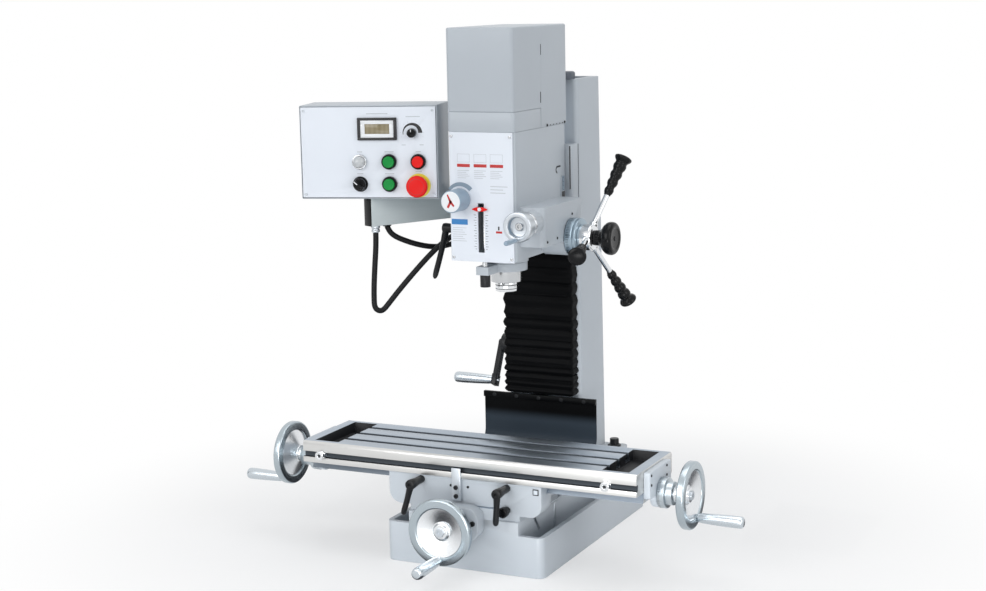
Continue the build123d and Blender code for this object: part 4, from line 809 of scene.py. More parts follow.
def build_lights(sizes):
    power, aim = sizes.key_power, (0, 0, 0.45)
    area_light("key_light", power, (2.6, 2.2), (-1.1, -3.6, 2.0), aim)
    area_light("side_light", power * 0.60, (2.0, 2.4), (3.6, -1.2, 1.9), aim)
    area_light("top_light", power * 0.60, (2.6, 2.6), (0.2, 0.2, 3.8), (0, 0, 0.4))
    area_light("low_fill", power * 0.034, (1.8, 0.4), (0.5, -1.8, 0.2), (0.05, -0.27, 0.10), 50)
    world = bpy.data.worlds.new("studio")
    bpy.context.scene.world = world
    world.use_nodes = True
    tree = world.node_tree
    background = tree.nodes["Background"]
    fill(tree, background, {"Color": (0.93, 0.96, 1.0, 1.0), "Strength": 0.45})
    white = tree.nodes.new("ShaderNodeBackground")
    fill(tree, white, {"Color": (1.0, 1.0, 1.0, 1.0)})
    mix_shaders(tree, seen_directly(tree), background, white, "World Output")
    for name, place, size, turn, lean in (
        ("left_flag", (-3.2, -2.2, 1.2), (1.6, 2.6), 58, 90),
        ("front_flag", (0.2, -5.2, 1.0), (1.2, 2.8), 2, 90),
        ("right_flag", (3.4, -3.4, 1.0), (0.9, 2.4), -45, 90),
        ("cross_wheel_flag", (-0.06, -0.43, 0.0005), (0.28, 0.11), 0, 0),
        ("right_wheel_flag", (0.54, 0.24, 0.0005), (0.22, 0.30), 0, 0),
        ("left_wheel_flag", (-0.30, 0.12, 0.0005), (0.34, 0.34), 0, 0),
        ("left_side_flag", (-0.172, 0.22, 0.075), (0.50, 0.15), 90, 90),
    ):
        studio_flag(name, place, size, turn, lean)


def studio_flag(name, place, size, turn, lean):
    """A dark card that only polished metal sees, so that it has something dark to reflect."""
    part = bmesh.new()
    bmesh.ops.create_grid(part, x_segments=2, y_segments=2, size=0.5)
    bmesh.ops.scale(part, vec=(*size, 1.0), verts=part.verts)
    card = new_object(name, mesh_of(name, part))
    if "flag_cloth" not in finishes:
        tree, shader, where = start_material("flag_cloth")
        grain = placed_group(tree, "grain", vector=where, broad_scale=3.0, fine_scale=200.0)
        colour = blended(tree, grain.outputs["Fine"], (0.03, 0.03, 0.035), (0.05, 0.05, 0.055))
        fill(tree, shader, {"Base Color": colour, "Roughness": 0.9})
    card.data.materials.append(finishes["flag_cloth"])
    card.matrix_world = Matrix.Translation(place) @ spin(turn) @ spin(lean, "X")
    for kind in ("camera", "diffuse", "shadow", "transmission", "volume_scatter"):
        setattr(card, "visible_" + kind, False)


# Places that several pieces share, in millimetres
saddle_front, plate_front, head_side, table_end = -250, -148, 70, 363
arm_underside, cover_seam = 634, -23
capstan_y, capstan_z, spindle_y = -0.8, 608, -45
long_screw_y, long_screw_z = -161, 164
panel_spots = {
    "display": (154, 135), "lamp": (118, 72), "run_button": (176, 72), "stop_button": (233, 72),
    "jog_button": (176, 29), "selector_switch": (118, 29), "emergency_stop": (233, 26),
    "speed_knob": (222, 127),
}


# Cables

long_route = [
    (-234.1, -142.6, 620.0), (-234.1, -142.6, 598.0), (-237.0, -144.9, 556.0), (-239.2, -146.6, 518.0),
    (-239.9, -147.1, 493.0), (-239.7, -147.0, 473.0), (-234.0, -142.6, 464.9), (-226.0, -136.4, 465.1),
    (-216.0, -128.6, 480.0), (-199.4, -115.7, 505.0), (-175.7, -97.3, 538.0), (-152.0, -78.9, 569.0),
    (-129.9, -61.8, 594.0), (-106.2, -43.4, 612.0), (-84.0, -43.4, 612.0),
]
short_route = [
    (-222.0, -118.0, 630.0), (-219.0, -115.2, 620.0), (-212.0, -109.0, 610.5), (-200.0, -98.3, 602.0),
    (-180.0, -80.5, 591.5), (-156.0, -58.5, 583.5), (-133.0, -37.0, 584.5), (-114.0, -18.0, 592.0),
    (-102.0, -4.0, 597.5), (-84.0, -4.0, 597.5),
]
gland_outline = [
    (0, 0), (9, 0), (9, 5), (7.6, 6), (7.6, 9), (8.6, 10), (8.6, 13.5), (6.2, 16), (5.6, 16), (5.6, 3),
    (0, 3),
]
gland_length = 16


def build_cable(name, node, route, radius):
    data = bpy.data.curves.new(name, "CURVE")
    data.dimensions = "3D"
    data.bevel_depth = radius
    data.bevel_resolution = 6
    data.resolution_u = 10
    data.use_fill_caps = True
    spline = data.splines.new("NURBS")
    spline.points.add(len(route) - 1)
    for point, (x, y, z) in zip(spline.points, route):
        point.co = (x * MM, y * MM, z * MM, 1.0)
    spline.order_u = 3
    spline.use_endpoint_u = True
    data.materials.append(finishes["cable_rubber"])
    cable = new_object(name, data)
    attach(cable, "head")
    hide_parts(node)


def gland(length):
    """The outline of a cable gland, drawn out to a length."""
    return [(radius, height * length / gland_length) for radius, height in gland_outline]


def ribbed_sleeve(angle, radius, height):
    """Shallow ribs round the nut of a gland."""
    return 1 - 0.03 * (0.5 + 0.5 * math.cos(12 * angle)) if radius > 8.2 else 1.0


def build_cables(sizes):
    build_cable("cable_long_flex", "cable_long", long_route, sizes.cable_radius)
    build_cable("cable_short_flex", "cable_short", short_route, sizes.cable_radius)
    glands = Shape()
    for route, finish in ((long_route, "satin_alloy"), (short_route, "black_plastic")):
        x, y, z = route[0]
        place = upright(x, y, arm_underside) @ spin(180, "X")
        glands.turn(gland(arm_underside - z), finish, place, 48, 0.6, ribbed_sleeve)
        x, y, z = route[-1]
        place = left(-head_side, y, z)
        glands.turn(gland(-head_side - x), "black_plastic", place, 48, 0.6, ribbed_sleeve)
    glands.make("cable_glands_dressed", "head", ("cable_glands",), "black_plastic")


# Castings, covers and machined pieces

def within(**ranges):
    """A rule for faces: along each axis named, their centre lies between two values in millimetres."""
    def rule(centre, normal):
        return all(low < getattr(centre, axis) < high for axis, (low, high) in ranges.items())

    return rule


is_column_way = within(x=(-64, 64), y=(-math.inf, 128.5), z=(131, math.inf))
is_depth_slot = within(x=(-9, 5), y=(-146, -100), z=(591, 687))
is_table_slot = within(x=(-279, 279), y=(-245.5, -80), z=(190, 217.5))
is_table_rail = within(z=(-math.inf, 175.5))
is_dog_groove = within(y=(-253.5, -245.5), z=(186.5, 198.5))
is_depth_nut = within(z=(-math.inf, 545.2))


def is_way(centre, normal):
    """The ground faces of the base's cross ways."""
    on_top = centre.z > 103.5 or (centre.z > 102 and abs(centre.x) < 114)
    return normal.y > -0.9 and centre.y < 104 and on_top


def is_base_trough(centre, normal):
    return abs(centre.z - 48) < 1 and normal.z > 0.9


def is_saddle_way(centre, normal):
    return centre.z > 175.5 or (abs(centre.x) < 100 and centre.z < 130 and -249 < centre.y < -73)


def is_table_front(centre, normal):
    """The table's front edge and its ends, which take a lighter copy of the ground iron as a painted
    highlight.
    """
    return centre.z < 217.9 and (centre.y < -246.5 or abs(centre.x) > 349.5)


def is_table_trough(centre, normal):
    return 277.5 < abs(centre.x) < 330.5 and 197.5 < centre.z < 217.5 and -239.5 < centre.y < -82.5


def is_collar(centre, normal):
    return 545.5 < centre.z < 561.5 or (centre.z < 562 and normal.z > 0.9)


def build_castings(sizes):
    edge = sizes.casting_edge / MM
    base_rules = [("trough_paint", is_base_trough), ("ground_iron", is_way)]
    dressed("base_casting", "machine_paint", edge, others=base_rules)
    dressed("column", "machine_paint", edge, others=[("ground_iron", is_column_way)])
    dressed("saddle", "machine_paint", edge * 0.8, others=[("ground_iron", is_saddle_way)])
    dressed("carriage", "machine_paint", edge)
    # The faces in the depth stop's slot take the near-black finish: painted shade in the slot
    dressed("head_casting", "machine_paint", edge, others=[("dark_gap", is_depth_slot)])
    dressed("cross_bracket", "machine_paint", edge)
    dressed("end_brackets", "bracket_paint", edge)
    dressed("column_top_plate", "slate_paint", edge)


def build_covers(sizes):
    edge = sizes.cover_edge / MM
    dressed("gearbox_lid", "machine_paint", edge)
    for node in ("spindle_cover", "motor_housing"):
        dressed(node, "machine_paint", edge, skip=lambda middle: abs(middle.y - cover_seam) < 0.5)
    dressed("control_box", "machine_paint", edge)
    dressed("arm", "brushed_arm", 0.8)
    place = axes((-231, -162.3, 690), (*on_circle(1, 62.15), 0), (0, 0, 1))
    plug = Shape().block(-1.6, 0.1, 0.3, 23.7, -55.7, -0.3, "black_plastic", place, 0.5)
    plug.block(0, 9, 3.3, 20.7, -52.7, -3.3, "black_plastic", place, 0.5)
    plug.make("arm_end_plug", "head", slot="black_plastic")


def build_table(sizes):
    edge = sizes.table_edge / MM
    # Darker iron in the slots, the dog groove and on the rails is painted shade; the lighter iron on the
    # front edge and ends is a painted highlight
    dressed(
        "table", "ground_iron", edge,
        others=[
            ("rail_iron", is_table_rail), ("table_front", is_table_front), ("slot_iron", is_table_slot),
            ("groove_iron", is_dog_groove), ("trough_black", is_table_trough),
        ],
    )
    dressed("stop_bracket", "plated_steel", 0.8)
    for node, x in (("stop_dog_left", -309), ("stop_dog_right", 291)):
        place = front(x, -254.1, 192.5)
        ring = [(3.2, 0), (8.4, 0), (9, 0.6), (9, 8.2), (8.2, 9), (4.2, 9), (3.2, 8)]
        dog = Shape().turn(ring, "bright_metal", place, 48, 0.3)
        # A near-black core in the ring's bore: painted shade in the hole
        dog.turn(tube(0, 3.4, 0.2, 5.5), "dark_gap", place, 32, 0)
        dog.block(-8.8, 8.8, -5.1, 5.1, -7.6, 0.2, "bright_metal", place, 0.4)
        dog.stand_for(node, node + "_ring")
    dressed("quill", "ground_steel", 0.6)
    dressed("spindle", "bright_metal", 0.6)
    # Near-black rings on the spindle nose: painted shade in its grooves
    rings = Shape()
    for low, high in ((507.5, 508.7), (514.5, 516.2), (520.2, 521.9)):
        rings.turn(tube(20.6, 21.56, low, high), "dark_gap", upright(0, spindle_y, 0), 64, 0)
    rings.make("spindle_nose_rings", "spindle", slot="black_steel")
    stop_rules = [("machine_paint", is_collar), ("black_steel", is_depth_nut)]
    dressed("depth_stop", "ground_steel", 0.6, others=stop_rules)
    dressed("crank", "black_steel", 0.9)


def finish_inside():
    for node, finish in {
        "elevating_screw": "ground_steel", "elevating_nut": "bronze", "saddle_gibs": "ground_iron",
        "feed_nuts": "bronze", "cross_screw": "ground_steel", "long_screw": "ground_steel",
        "motor": "black_steel", "motor_pinion": "ground_steel", "drive_gear": "ground_steel",
        "spindle_bearings": "bright_metal",
    }.items():
        kept(node, finish)


# Handwheels, dials and handles

rim_outline = [(46, 25), (48, 23), (61.5, 23), (63.5, 25), (63.5, 36), (61.5, 38), (48, 38), (46, 36)]
dish_outline = [
    (0, 0.5), (16, 0.5), (16, 11.5), (46.6, 25.3), (46.6, 35.7), (18, 25), (14, 27), (14, 31), (0, 31),
]
nut_outline = [
    (0, 30.5), (9, 30.5, "hex"), (9, 34.5, "hex"), (8, 35.5), (3.5, 35.5), (3.5, 33), (0, 33),
]
handle_outline = [
    (0, -13.7), (4, -13.7), (4, 0.3), (8, 0.3), (8.6, 4), (9.4, 9), (10.2, 24), (10.9, 44), (11.4, 64),
    (11.4, 80), (10.6, 85), (8.4, 87.4), (0, 88),
]


def wheel_place(side, x):
    """A place on the long feed screw's axis, at one end, whose local Z points away from the table."""
    return axes((side * x, long_screw_y, long_screw_z), (0, side, 0), (side, 0, 0))


cross_wheel_place = front(0, -320, 99)
right_wheel_place = wheel_place(1, 389.5)
left_wheel_place = wheel_place(-1, 402.5)


def build_wheels():
    for name, body, place, replaces in (
        ("cross_wheel_rim", "cross_feed", cross_wheel_place, ("cross_wheel",)),
        ("right_wheel_rim", "long_feed", right_wheel_place, ("long_wheels",)),
        ("left_wheel_rim", "long_feed", left_wheel_place, ()),
    ):
        wheel = Shape().turn(rim_outline, "wheel_rim_metal", steps=96, soft=1.4)
        wheel.turn(dish_outline, "wheel_dish_metal", steps=96, soft=1.2)
        wheel.turn(nut_outline, "plated_steel", steps=48, soft=0)
        wheel.make(name, body, replaces, local=place, slot="bright_metal")
    for name, body, place, length, step in (
        ("cross_dial", "cross_feed", front(0, -286, 99), 30, 4),
        ("right_dial", "long_feed", wheel_place(1, table_end), 15, 11.5),
        ("left_dial", "long_feed", wheel_place(-1, table_end), 15, 24.5),
    ):
        end = length + step
        dial = Shape().turn(
            [
                (8.1, 0.3), (28, 0.3), (29, 1.3), (29, length - 1), (28, length), (22, length), (22, end),
                (8.1, end),
            ],
            "dial_metal", steps=96, soft=0.4,
        )
        dial.make(name, body, local=place)


def build_handles():
    on_rim, rim_top = 52, 38
    for node, place in (
        ("cross_handle", cross_wheel_place @ polar(on_rim, -92, rim_top)),
        ("right_handle", right_wheel_place @ polar(on_rim, -66.4, rim_top)),
        ("left_handle", left_wheel_place @ polar(on_rim, 292.6, rim_top)),
        ("crank_handle", left(-105.3, 105, 285)),
    ):
        grip = Shape().turn(handle_outline, "handle_metal", steps=48, soft=1.5)
        grip.stand_for(node, node + "_grip", place)


# Capstan, feed wheel, knobs and levers

spoke_reach, spoke_lean = 169, 48
spoke_length = math.hypot(spoke_reach, spoke_lean)


def on_capstan(x):
    """A place on the capstan's axis whose local Z points to the right."""
    return right(x, capstan_y, capstan_z)


def spoke_place(turn):
    out = Vector((0, *on_circle(1, turn)))
    way = (out * spoke_reach + Vector((spoke_lean, 0, 0))).normalized()
    return axes((155, capstan_y, capstan_z), way.cross(out), way)


def grip_outline():
    """A soft grip of four swelling rings with a flared end."""
    start, pitch = spoke_length - 85, 17.25
    outline = [(0, start + 13.1), (5.6, start + 13.1), (5.6, start + 0.1)]
    for ring in range(4):
        valley = 6.5 + 1.25 * ring
        level = start + pitch * ring
        outline += [
            (valley, level + 0.2), (valley + 0.4, level + 2.6), (valley + 2.3, level + 6.2),
            (valley + 2.9, level + 11.8), (valley + 1.9, level + 14.4), (valley + 1.2, level + 17.0),
        ]
    flare = [(12.2, 13.6), (15.9, 9.6), (17.5, 6.2), (17.0, 3.8), (14.0, 1.9), (8.0, 0.6), (0, 0.1)]
    return outline + [(radius, spoke_length - back) for radius, back in flare]


def build_capstan():
    hub = Shape()
    hub.turn(
        [(0, 0), (25, 0), (26, 1), (26, 23), (23.5, 26.5), (19, 28), (0, 28)], "bright_metal",
        on_capstan(142), 72, 1.2,
    )
    grips = Shape()
    for turn in (64, 184, 304):
        place = spoke_place(turn)
        end = spoke_length - 73
        hub.turn(tube(0, 5.5, 0, end), "bright_metal", place, 32, 0.4)
        hub.turn([(5.2, 24), (8.4, 24), (8.4, 29), (7.2, 31), (5.2, 31)], "bright_metal", place, 32, 0.6)
        grips.turn(grip_outline(), "black_plastic", place, 48, 1.6)
    hub.turn(tube(0, 9, -40, 120), "ground_steel", on_capstan(0), 32, 0.5)
    hub.make("capstan_hub", "capstan", ("capstan",), "bright_metal")
    grips.make("capstan_grips_ribbed", "capstan", ("capstan_grips",))
    dial = Shape().turn(
        [
            (9, 0), (36, 0), (37, 1), (37, 13), (35.6, 14.2), (35.6, 15.4), (37, 16.6), (37, 21), (36, 22),
            (9, 22),
        ],
        "feed_dial_metal", steps=96, soft=0.4,
    )
    dial.make("capstan_dial", "capstan", local=on_capstan(120))
    knob = Shape().turn(
        [
            (0, -20), (5, -20), (5, 0.3), (15, 0.3), (15, 11), (17.5, 15), (26, 21), (30.5, 26), (32, 31),
            (32, 37), (30.2, 41), (26.5, 43), (21, 42.6), (19, 41.4), (0, 41),
        ],
        "black_plastic", steps=72, soft=2.0,
    )
    knob.turn([(0, 40), (5, 40), (5, 41.8), (4, 42.4), (0, 42.4)], "lever_black", steps=36, soft=0.5)
    knob.stand_for("clutch_knob", "clutch_knob_cap", on_capstan(170))


def build_fine_feed():
    wheel = Shape().turn(
        [
            (0, -28), (6, -28), (6, 0.3), (24, 0.3), (26, 3), (26, 12), (28.5, 15), (28.5, 31), (27, 33),
            (20.5, 33), (18.8, 31.5), (18.5, 20), (0, 19.8),
        ],
        "satin_alloy", steps=72, soft=0.9,
    )
    wheel.turn(
        [(0, 19), (8, 19), (8, 22.5), (7, 23.5), (4, 23.5, "hex"), (4, 20.5, "hex"), (0, 20.5)],
        "ground_steel", steps=48, soft=0,
    )
    wheel.turn([(18.2, 20.4), (19.2, 20.4), (19.6, 29.8), (18.6, 30.4)], "knob_grey", steps=64, soft=0)
    wheel.turn(
        [(0, 16.5), (3.4, 16.5), (3.4, 34), (4.6, 37), (4.4, 48), (5, 62), (4.6, 76), (3.2, 79.4), (0, 80)],
        "knob_grey", polar(24, -95, 0), 32, 1.0,
    )
    wheel.stand_for("fine_feed_wheel", "fine_feed_cup", front(95.5, -165, 650))
    ring = [(22, 1), (24.1, 1), (24.5, 1.6), (24.5, 6.4), (24.1, 7), (22, 7)]
    collar = Shape().turn(ring, "bright_metal", steps=64, soft=0.2)
    collar.make("fine_feed_collar", "head", local=front(95.5, -157, 650))


def build_range_knob():
    knob = Shape().turn(
        [(0, -20), (6, -20), (6, 3.3), (21.5, 3.3), (21.5, 41), (20.4, 43), (19.6, 43.4), (0, 43.4)],
        "knob_grey", steps=72, soft=0.7,
    )
    knob.turn([(0, 42), (19.4, 42), (19.4, 43.6), (18.8, 43.9), (0, 43.9)], "knob_white", steps=72, soft=0.3)
    for angle, length, wide in ((116, 15, 1.4), (242, 13, 2.2), (-50, 11, 1.8)):
        bar = [(-2.4, -2.6), (length, -wide), (length, wide), (-2.4, 2.6)]
        knob.prism(bar, 43.7, 44, "print_red", spin(angle), 0.1)
    knob.stand_for("range_knob", "range_knob_cap", front(-45, -145, 692))
    wheel = Shape().turn(
        [(0, -15), (5, -15), (5, 0.3), (7, 0.3), (7, 9), (10, 12), (10, 23), (8, 25), (0, 25)],
        "black_plastic", steps=48, soft=0.7, lobes=knurl,
    )
    wheel.stand_for("saddle_lock_knob", "saddle_lock_cap", front(90, saddle_front, 124))


def knurl(angle, radius, height):
    return 1 - 0.02 * (0.5 + 0.5 * math.cos(18 * angle)) if height > 0.5 else 1.0


def clamp_lever(name, node, place, hub, arm, turn):
    """A cast clamping lever: a tapered hub with a cap screw and an arm that swells towards its end."""
    lever = Shape()
    lever.turn(tube(0, 5, -15, 0.4), "ground_steel", steps=24, soft=0.3)
    lever.turn(
        [
            (0, 0.3), (7.5, 0.3), (7.8, hub * 0.45), (9.4, hub * 0.7), (10, hub - 6), (9.2, hub - 1.5),
            (6, hub), (4, hub, "hex"), (4, hub - 3, "hex"), (0, hub - 3),
        ],
        "lever_black", steps=48, soft=0,
    )
    level = hub - 7.3
    path, sizes = [], []
    for share, drop, wide, tall in (
        (0.02, 0.0, 7.2, 6.8), (0.14, 0.2, 7.2, 6.6), (0.3, 0.6, 6.2, 6.0), (0.5, 0.8, 5.8, 5.6),
        (0.75, 0.5, 6.2, 5.6), (0.92, 0.0, 6.5, 5.6), (1.0, 0.0, 6.0, 5.2), (1.05, 0.0, 4.6, 4.0),
        (1.08, 0.0, 2.0, 1.8),
    ):
        path.append((*on_circle(arm * share, turn), level - drop))
        sizes.append((wide, tall))
    lever.limb(path, sizes, "lever_black")
    lever.make(name, node, (node,), slot="black_plastic", local=place)


def build_levers():
    clamp_lever("table_lock_left_arm", "table_lock_left", front(-90, saddle_front, 166), 50, 59, -107)
    clamp_lever("table_lock_right_arm", "table_lock_right", front(90, saddle_front, 166), 50, 57, -94)
    clamp_lever("quill_lock_arm", "quill_lock_lever", left(-head_side, -80, 626), 48, 99, -148.7)


# Front plate and control panel

def panel_place(u, w):
    """A place on the control panel's face whose local Z points out of it."""
    return upright(-357.2, -210.2, 690) @ spin(16) @ upright(u, -2, w) @ spin(90, "X")


def spot(name):
    return panel_place(*panel_spots[name])


def arc_outline(inner, outer, start, end):
    """A flat arc whose inner and outer radius may grow along it."""
    steps = 28
    points = []
    for radii, order in ((outer, range(steps + 1)), (inner, range(steps, -1, -1))):
        for step in order:
            share = step / steps
            radius = radii[0] + (radii[1] - radii[0]) * share
            points.append(on_circle(radius, start + (end - start) * share))
    return points


def bar_rows(marks, place, x0, x1, z, pitch, rows, tall=1.0):
    """Rows of thin grey bars of uneven length."""
    ragged = 0.13
    for row in range(rows):
        end = x1 - (x1 - x0) * ragged * ((row * 2) % 3)
        low = z - pitch * row
        marks.block(x0, end, low - tall / 2, low + tall / 2, -0.1, 0.1, "print_grey", place, 0)


def frame_lines(marks, place, x0, x1, z0, z1, finish):
    """A thin rectangle of printed lines."""
    line = 0.6
    for corners in (
        (x0, x1, z0, z0 + line), (x0, x1, z1 - line, z1), (x0, x0 + line, z0, z1), (x1 - line, x1, z0, z1),
    ):
        marks.block(*corners, -0.1, 0.12, finish, place, 0)


def build_plate():
    dressed("front_plate", "plate_white", 0.5)
    marks = Shape()
    face = front(0, plate_front, 0)
    for x0, x1 in ((-50, -23), (-15, 12), (19, 46.5)):
        marks.block(x0, x1, 754, 760, -0.1, 0.18, "print_red", face, 0.05)
        frame_lines(marks, face, x0 + 0.5, x1 - 0.5, 763, 779, "print_grey")
        bar_rows(marks, face, x0 + 0.5, x1 - 1.5, 747.5, 3.5, 5)
    marks.block(-64, -30, 644, 654.5, -0.1, 0.18, "print_blue", face, 0.05)
    bar_rows(marks, face, -62, -33, 638, 4.2, 7)
    bar_rows(marks, face, 19, 55, 718.5, 6, 3, 1.4)
    arc = arc_outline((26, 25), (32, 34), 140, 40)
    marks.prism(arc, -0.1, 0.18, "print_steel", front(-45, plate_front, 692), 0)
    slot_left, slot_right = -11.5, 7.5
    for step in range(14):
        z = 663.5 - 5 * step
        long = 5.5 if step % 2 == 0 else 3.2
        marks.block(slot_left - long, slot_left, z - 0.35, z + 0.35, -0.1, 0.12, "print_black", face, 0)
        marks.block(slot_right, slot_right + long, z - 0.35, z + 0.35, -0.1, 0.12, "print_black", face, 0)
    marks.block(29, 42, 630, 634, -0.1, 0.15, "print_red", face, 0)
    marks.block(33.5, 36.5, 636, 643, -0.1, 0.15, "print_black", face, 0)
    marks.make("front_plate_marks", "head", slot="plate_white")
    pointer = Shape()
    place = front(-2, -152, 675)
    pointer.prism(
        [(-16, -0.8), (-7, -4), (7, -4), (16, -0.8), (16, 0.8), (7, 4), (-7, 4), (-16, 0.8)], 0, 1.6,
        "red_plastic", place, 0.4,
    )
    pointer.turn([(0, 1.2), (3.6, 1.2), (3.6, 3.4), (2.8, 4.0), (0, 4.0)], "knob_white", place, 32, 0.4)
    pointer.make("depth_pointer", "quill", slot="red_plastic")


def opening_bars(shape, outer, inner, height, finish, place, edge):
    """Four bars round an opening, from the (x, y) half sizes outside and inside."""
    (x1, y1), (x0, y0) = outer, inner
    for bar in ((-x1, x1, y0, y1), (-x1, x1, -y1, -y0), (-x1, -x0, -y0, y0), (x0, x1, -y0, y0)):
        shape.block(*bar, 0, height, finish, place, edge)


def build_display():
    display = Shape()
    place = spot("display")
    opening_bars(display, (38.5, 21.5), (32.5, 16.5), 5, "print_black", place, 0.8)
    opening_bars(display, (33, 17), (24.2, 9.5), 3.4, "knob_white", place, 0.3)
    display.block(-24.6, 24.6, -9.8, 9.8, 0, 2.2, "display_window", place, 0.2)
    display.make("panel_display", "head", ("panel_fittings",), "black_plastic")


def build_buttons():
    """The bezels, the lamp, the three push buttons and the emergency stop."""
    bezels = Shape()
    ring = [(11.3, 0), (14.8, 0), (14.8, 5.5), (13.4, 8), (11.3, 8)]
    for name in ("run_button", "stop_button", "jog_button"):
        bezels.turn(ring, "black_plastic", spot(name), 56, 0.6)
    ring = [(13.3, 0), (14.8, 0), (14.8, 2.4), (13.9, 4), (13.3, 4)]
    bezels.turn(ring, "black_plastic", spot("selector_switch"), 56, 0.4)
    ring = [(6.3, 0), (23, 0), (23, 2), (22, 3), (6.3, 3)]
    bezels.turn(ring, "yellow_plastic", spot("emergency_stop"), 64, 0.4)
    bezels.make("panel_bezels", "head", slot="black_plastic")
    lamp = Shape()
    seat = [(0, 0), (14.8, 0), (14.8, 6), (13.5, 8), (11.4, 8), (11.4, 6), (0, 6)]
    lamp.turn(seat, "bright_metal", spot("lamp"), 56, 0.6)
    dome = [(0, 6), (11.2, 6)]
    for step in range(8):
        angle = math.radians(12 * step)
        dome.append((11.2 * math.cos(angle), 8 + 8 * math.sin(angle)))
    lamp.turn([*dome, (0, 16)], "lamp_lens", spot("lamp"), 56, 0)
    lamp.make("panel_lamp", "head", slot="white_plastic")
    outline = [(0, -24), (5.6, -24), (5.6, 4), (11, 4), (11, 11), (10, 12), (8.6, 11.6), (0, 11.2)]
    for node, finish in (
        ("run_button", "green_plastic"), ("stop_button", "red_plastic"), ("jog_button", "green_plastic"),
    ):
        cap = Shape().turn(outline, finish, steps=56, soft=0.5)
        cap.stand_for(node, node + "_cap", spot(node))
    stop = Shape().turn(
        [
            (0, -24), (5.6, -24), (5.6, 14), (18, 14), (20.4, 16), (21, 19), (20.6, 23.5), (18.5, 26.4),
            (14, 27.5), (0, 28),
        ],
        "red_plastic", steps=72, soft=1.0,
    )
    collar = [(6.2, 9.4), (10.4, 9.4), (11, 10.4), (11, 12.4), (9.4, 14.5), (6.2, 14.5)]
    stop.turn(collar, "black_plastic", steps=48, soft=0.5)
    stop.turn([(14.6, 26.7), (15.4, 26.9), (15.4, 27.4), (14.6, 27.5)], "print_red", steps=64, soft=0)
    stop.stand_for("emergency_stop", "emergency_stop_cap", spot("emergency_stop"))


def build_knobs():
    """The selector switch and the speed knob."""
    selector = Shape().turn(
        [(0, -16), (3.7, -16), (3.7, 0.3), (13, 0.3), (12.2, 12), (11, 14), (0, 14)], "black_plastic",
        steps=56, soft=0.8,
    )
    bar = [(-11, -3.6), (11, -3.2), (12, 0), (11, 3.2), (-11, 3.6)]
    selector.prism(bar, 12, 23.5, "black_plastic", spin(-40), 1.2)
    selector.block(-10.4, -1.5, -0.9, 0.9, 23.3, 23.75, "knob_white", spin(-40), 0.1)
    selector.stand_for("selector_switch", "selector_knob", spot("selector_switch"))
    speed = Shape().turn(
        [(0, -16), (3.7, -16), (3.7, 0.3), (9, 0.3), (8.6, 11), (7.4, 13.6), (0, 14)], "black_plastic",
        steps=48, soft=0.8, lobes=knurl,
    )
    speed.block(-0.6, 0.6, 2.5, 7.4, 13.7, 14.2, "knob_white", UP, 0.1)
    speed.stand_for("speed_knob", "speed_knob_cap", spot("speed_knob"))


def build_panel():
    dressed("control_panel", "plate_white", 0.4)
    build_display()
    build_buttons()
    build_knobs()
    marks = Shape()
    dial = spot("speed_knob")
    marks.prism(arc_outline((17.2, 12), (18.2, 20), 190, 0), -0.1, 0.15, "print_black", dial, 0)
    for step in range(11):
        marks.block(21.5, 23.5, -0.25, 0.25, -0.1, 0.12, "print_grey", dial @ spin(200 - 22 * step), 0)
    for u, w, wide in (
        (118, 91, 10), (176, 91, 18), (233, 91, 10), (118, 49, 12), (176, 49, 18), (233, 53, 12),
        (154, 164, 42), (224, 158, 28), (205, 104, 8), (240, 104, 8),
    ):
        bar_rows(marks, panel_place(u, w), -wide / 2, wide / 2, 0, 3, 1, 1.6)
    marks.make("panel_marks", "head", slot="plate_white")


# Soft covers

def fold_levels():
    """Heights of the bellows' folds, which open towards the top."""
    low, high = 264.0, 559.7
    growth = [1.07 ** index for index in range(14)]
    share = (high - low) / sum(growth)
    levels = [low]
    for size in growth:
        levels.append(levels[-1] + size * share)
    return levels


def fold_rows():
    """Heights and insets of the bellows' rings: flat crests of uneven depth between narrow valleys."""
    levels = fold_levels()
    rows = []
    for fold, (low, high) in enumerate(zip(levels, levels[1:])):
        valley = 3.8 + 1.2 * math.sin(fold * 2.4 + 0.6)
        crest = 0.5 + 0.5 * math.sin(fold * 3.7)
        lean = 0.08 * math.sin(fold * 1.9)
        for share, inset in (
            (0.0, valley), (0.06, valley * 0.94), (0.22, crest + 1.7), (0.38 + lean, crest + 0.5),
            (0.46 + lean, crest), (0.54 + lean, crest + 0.1), (0.64 + lean, crest + 0.7),
            (0.84, crest + 2.1), (0.95, valley * 0.94),
        ):
            rows.append((low + (high - low) * share, min(inset, 5.0)))
    rows.append((levels[-1], 4.0))
    return rows


def plan_path(inset):
    """The bellows' plan: back left, round the two front corners, to the back right."""
    half, face, corner = 78 - inset, 95 + inset, 7
    points = [(-half, 127.5), (-half, 118), (-half, 108)]
    for middle_x, start in ((-half + corner, 180), (half - corner, 270)):
        for step in range(5):
            x, y = on_circle(corner, start + 22.5 * step)
            points.append((middle_x + x, face + corner + y))
        if start == 180:
            points += [(x, face) for x in range(-60, 61, 10)]
    return points + [(half, 108), (half, 118), (half, 127.5)]


def closed_sheet(near, far):
    """A closed solid between two grids of points."""
    part = bmesh.new()
    grids = [[[part.verts.new(point) for point in row] for row in grid] for grid in (near, far)]
    rows, columns = len(near), len(near[0])
    for grid in grids:
        for low, high in zip(grid, grid[1:]):
            for column in range(columns - 1):
                part.faces.new((low[column], low[column + 1], high[column + 1], high[column]))
    rims = [(row, column, row + 1, column) for row in range(rows - 1) for column in (0, columns - 1)]
    rims += [(row, column, row, column + 1) for row in (0, rows - 1) for column in range(columns - 1)]
    for row, column, row_on, column_on in rims:
        here = [grid[row][column] for grid in grids]
        beyond = [grid[row_on][column_on] for grid in grids]
        part.faces.new((here[0], beyond[0], beyond[1], here[1]))
    return part


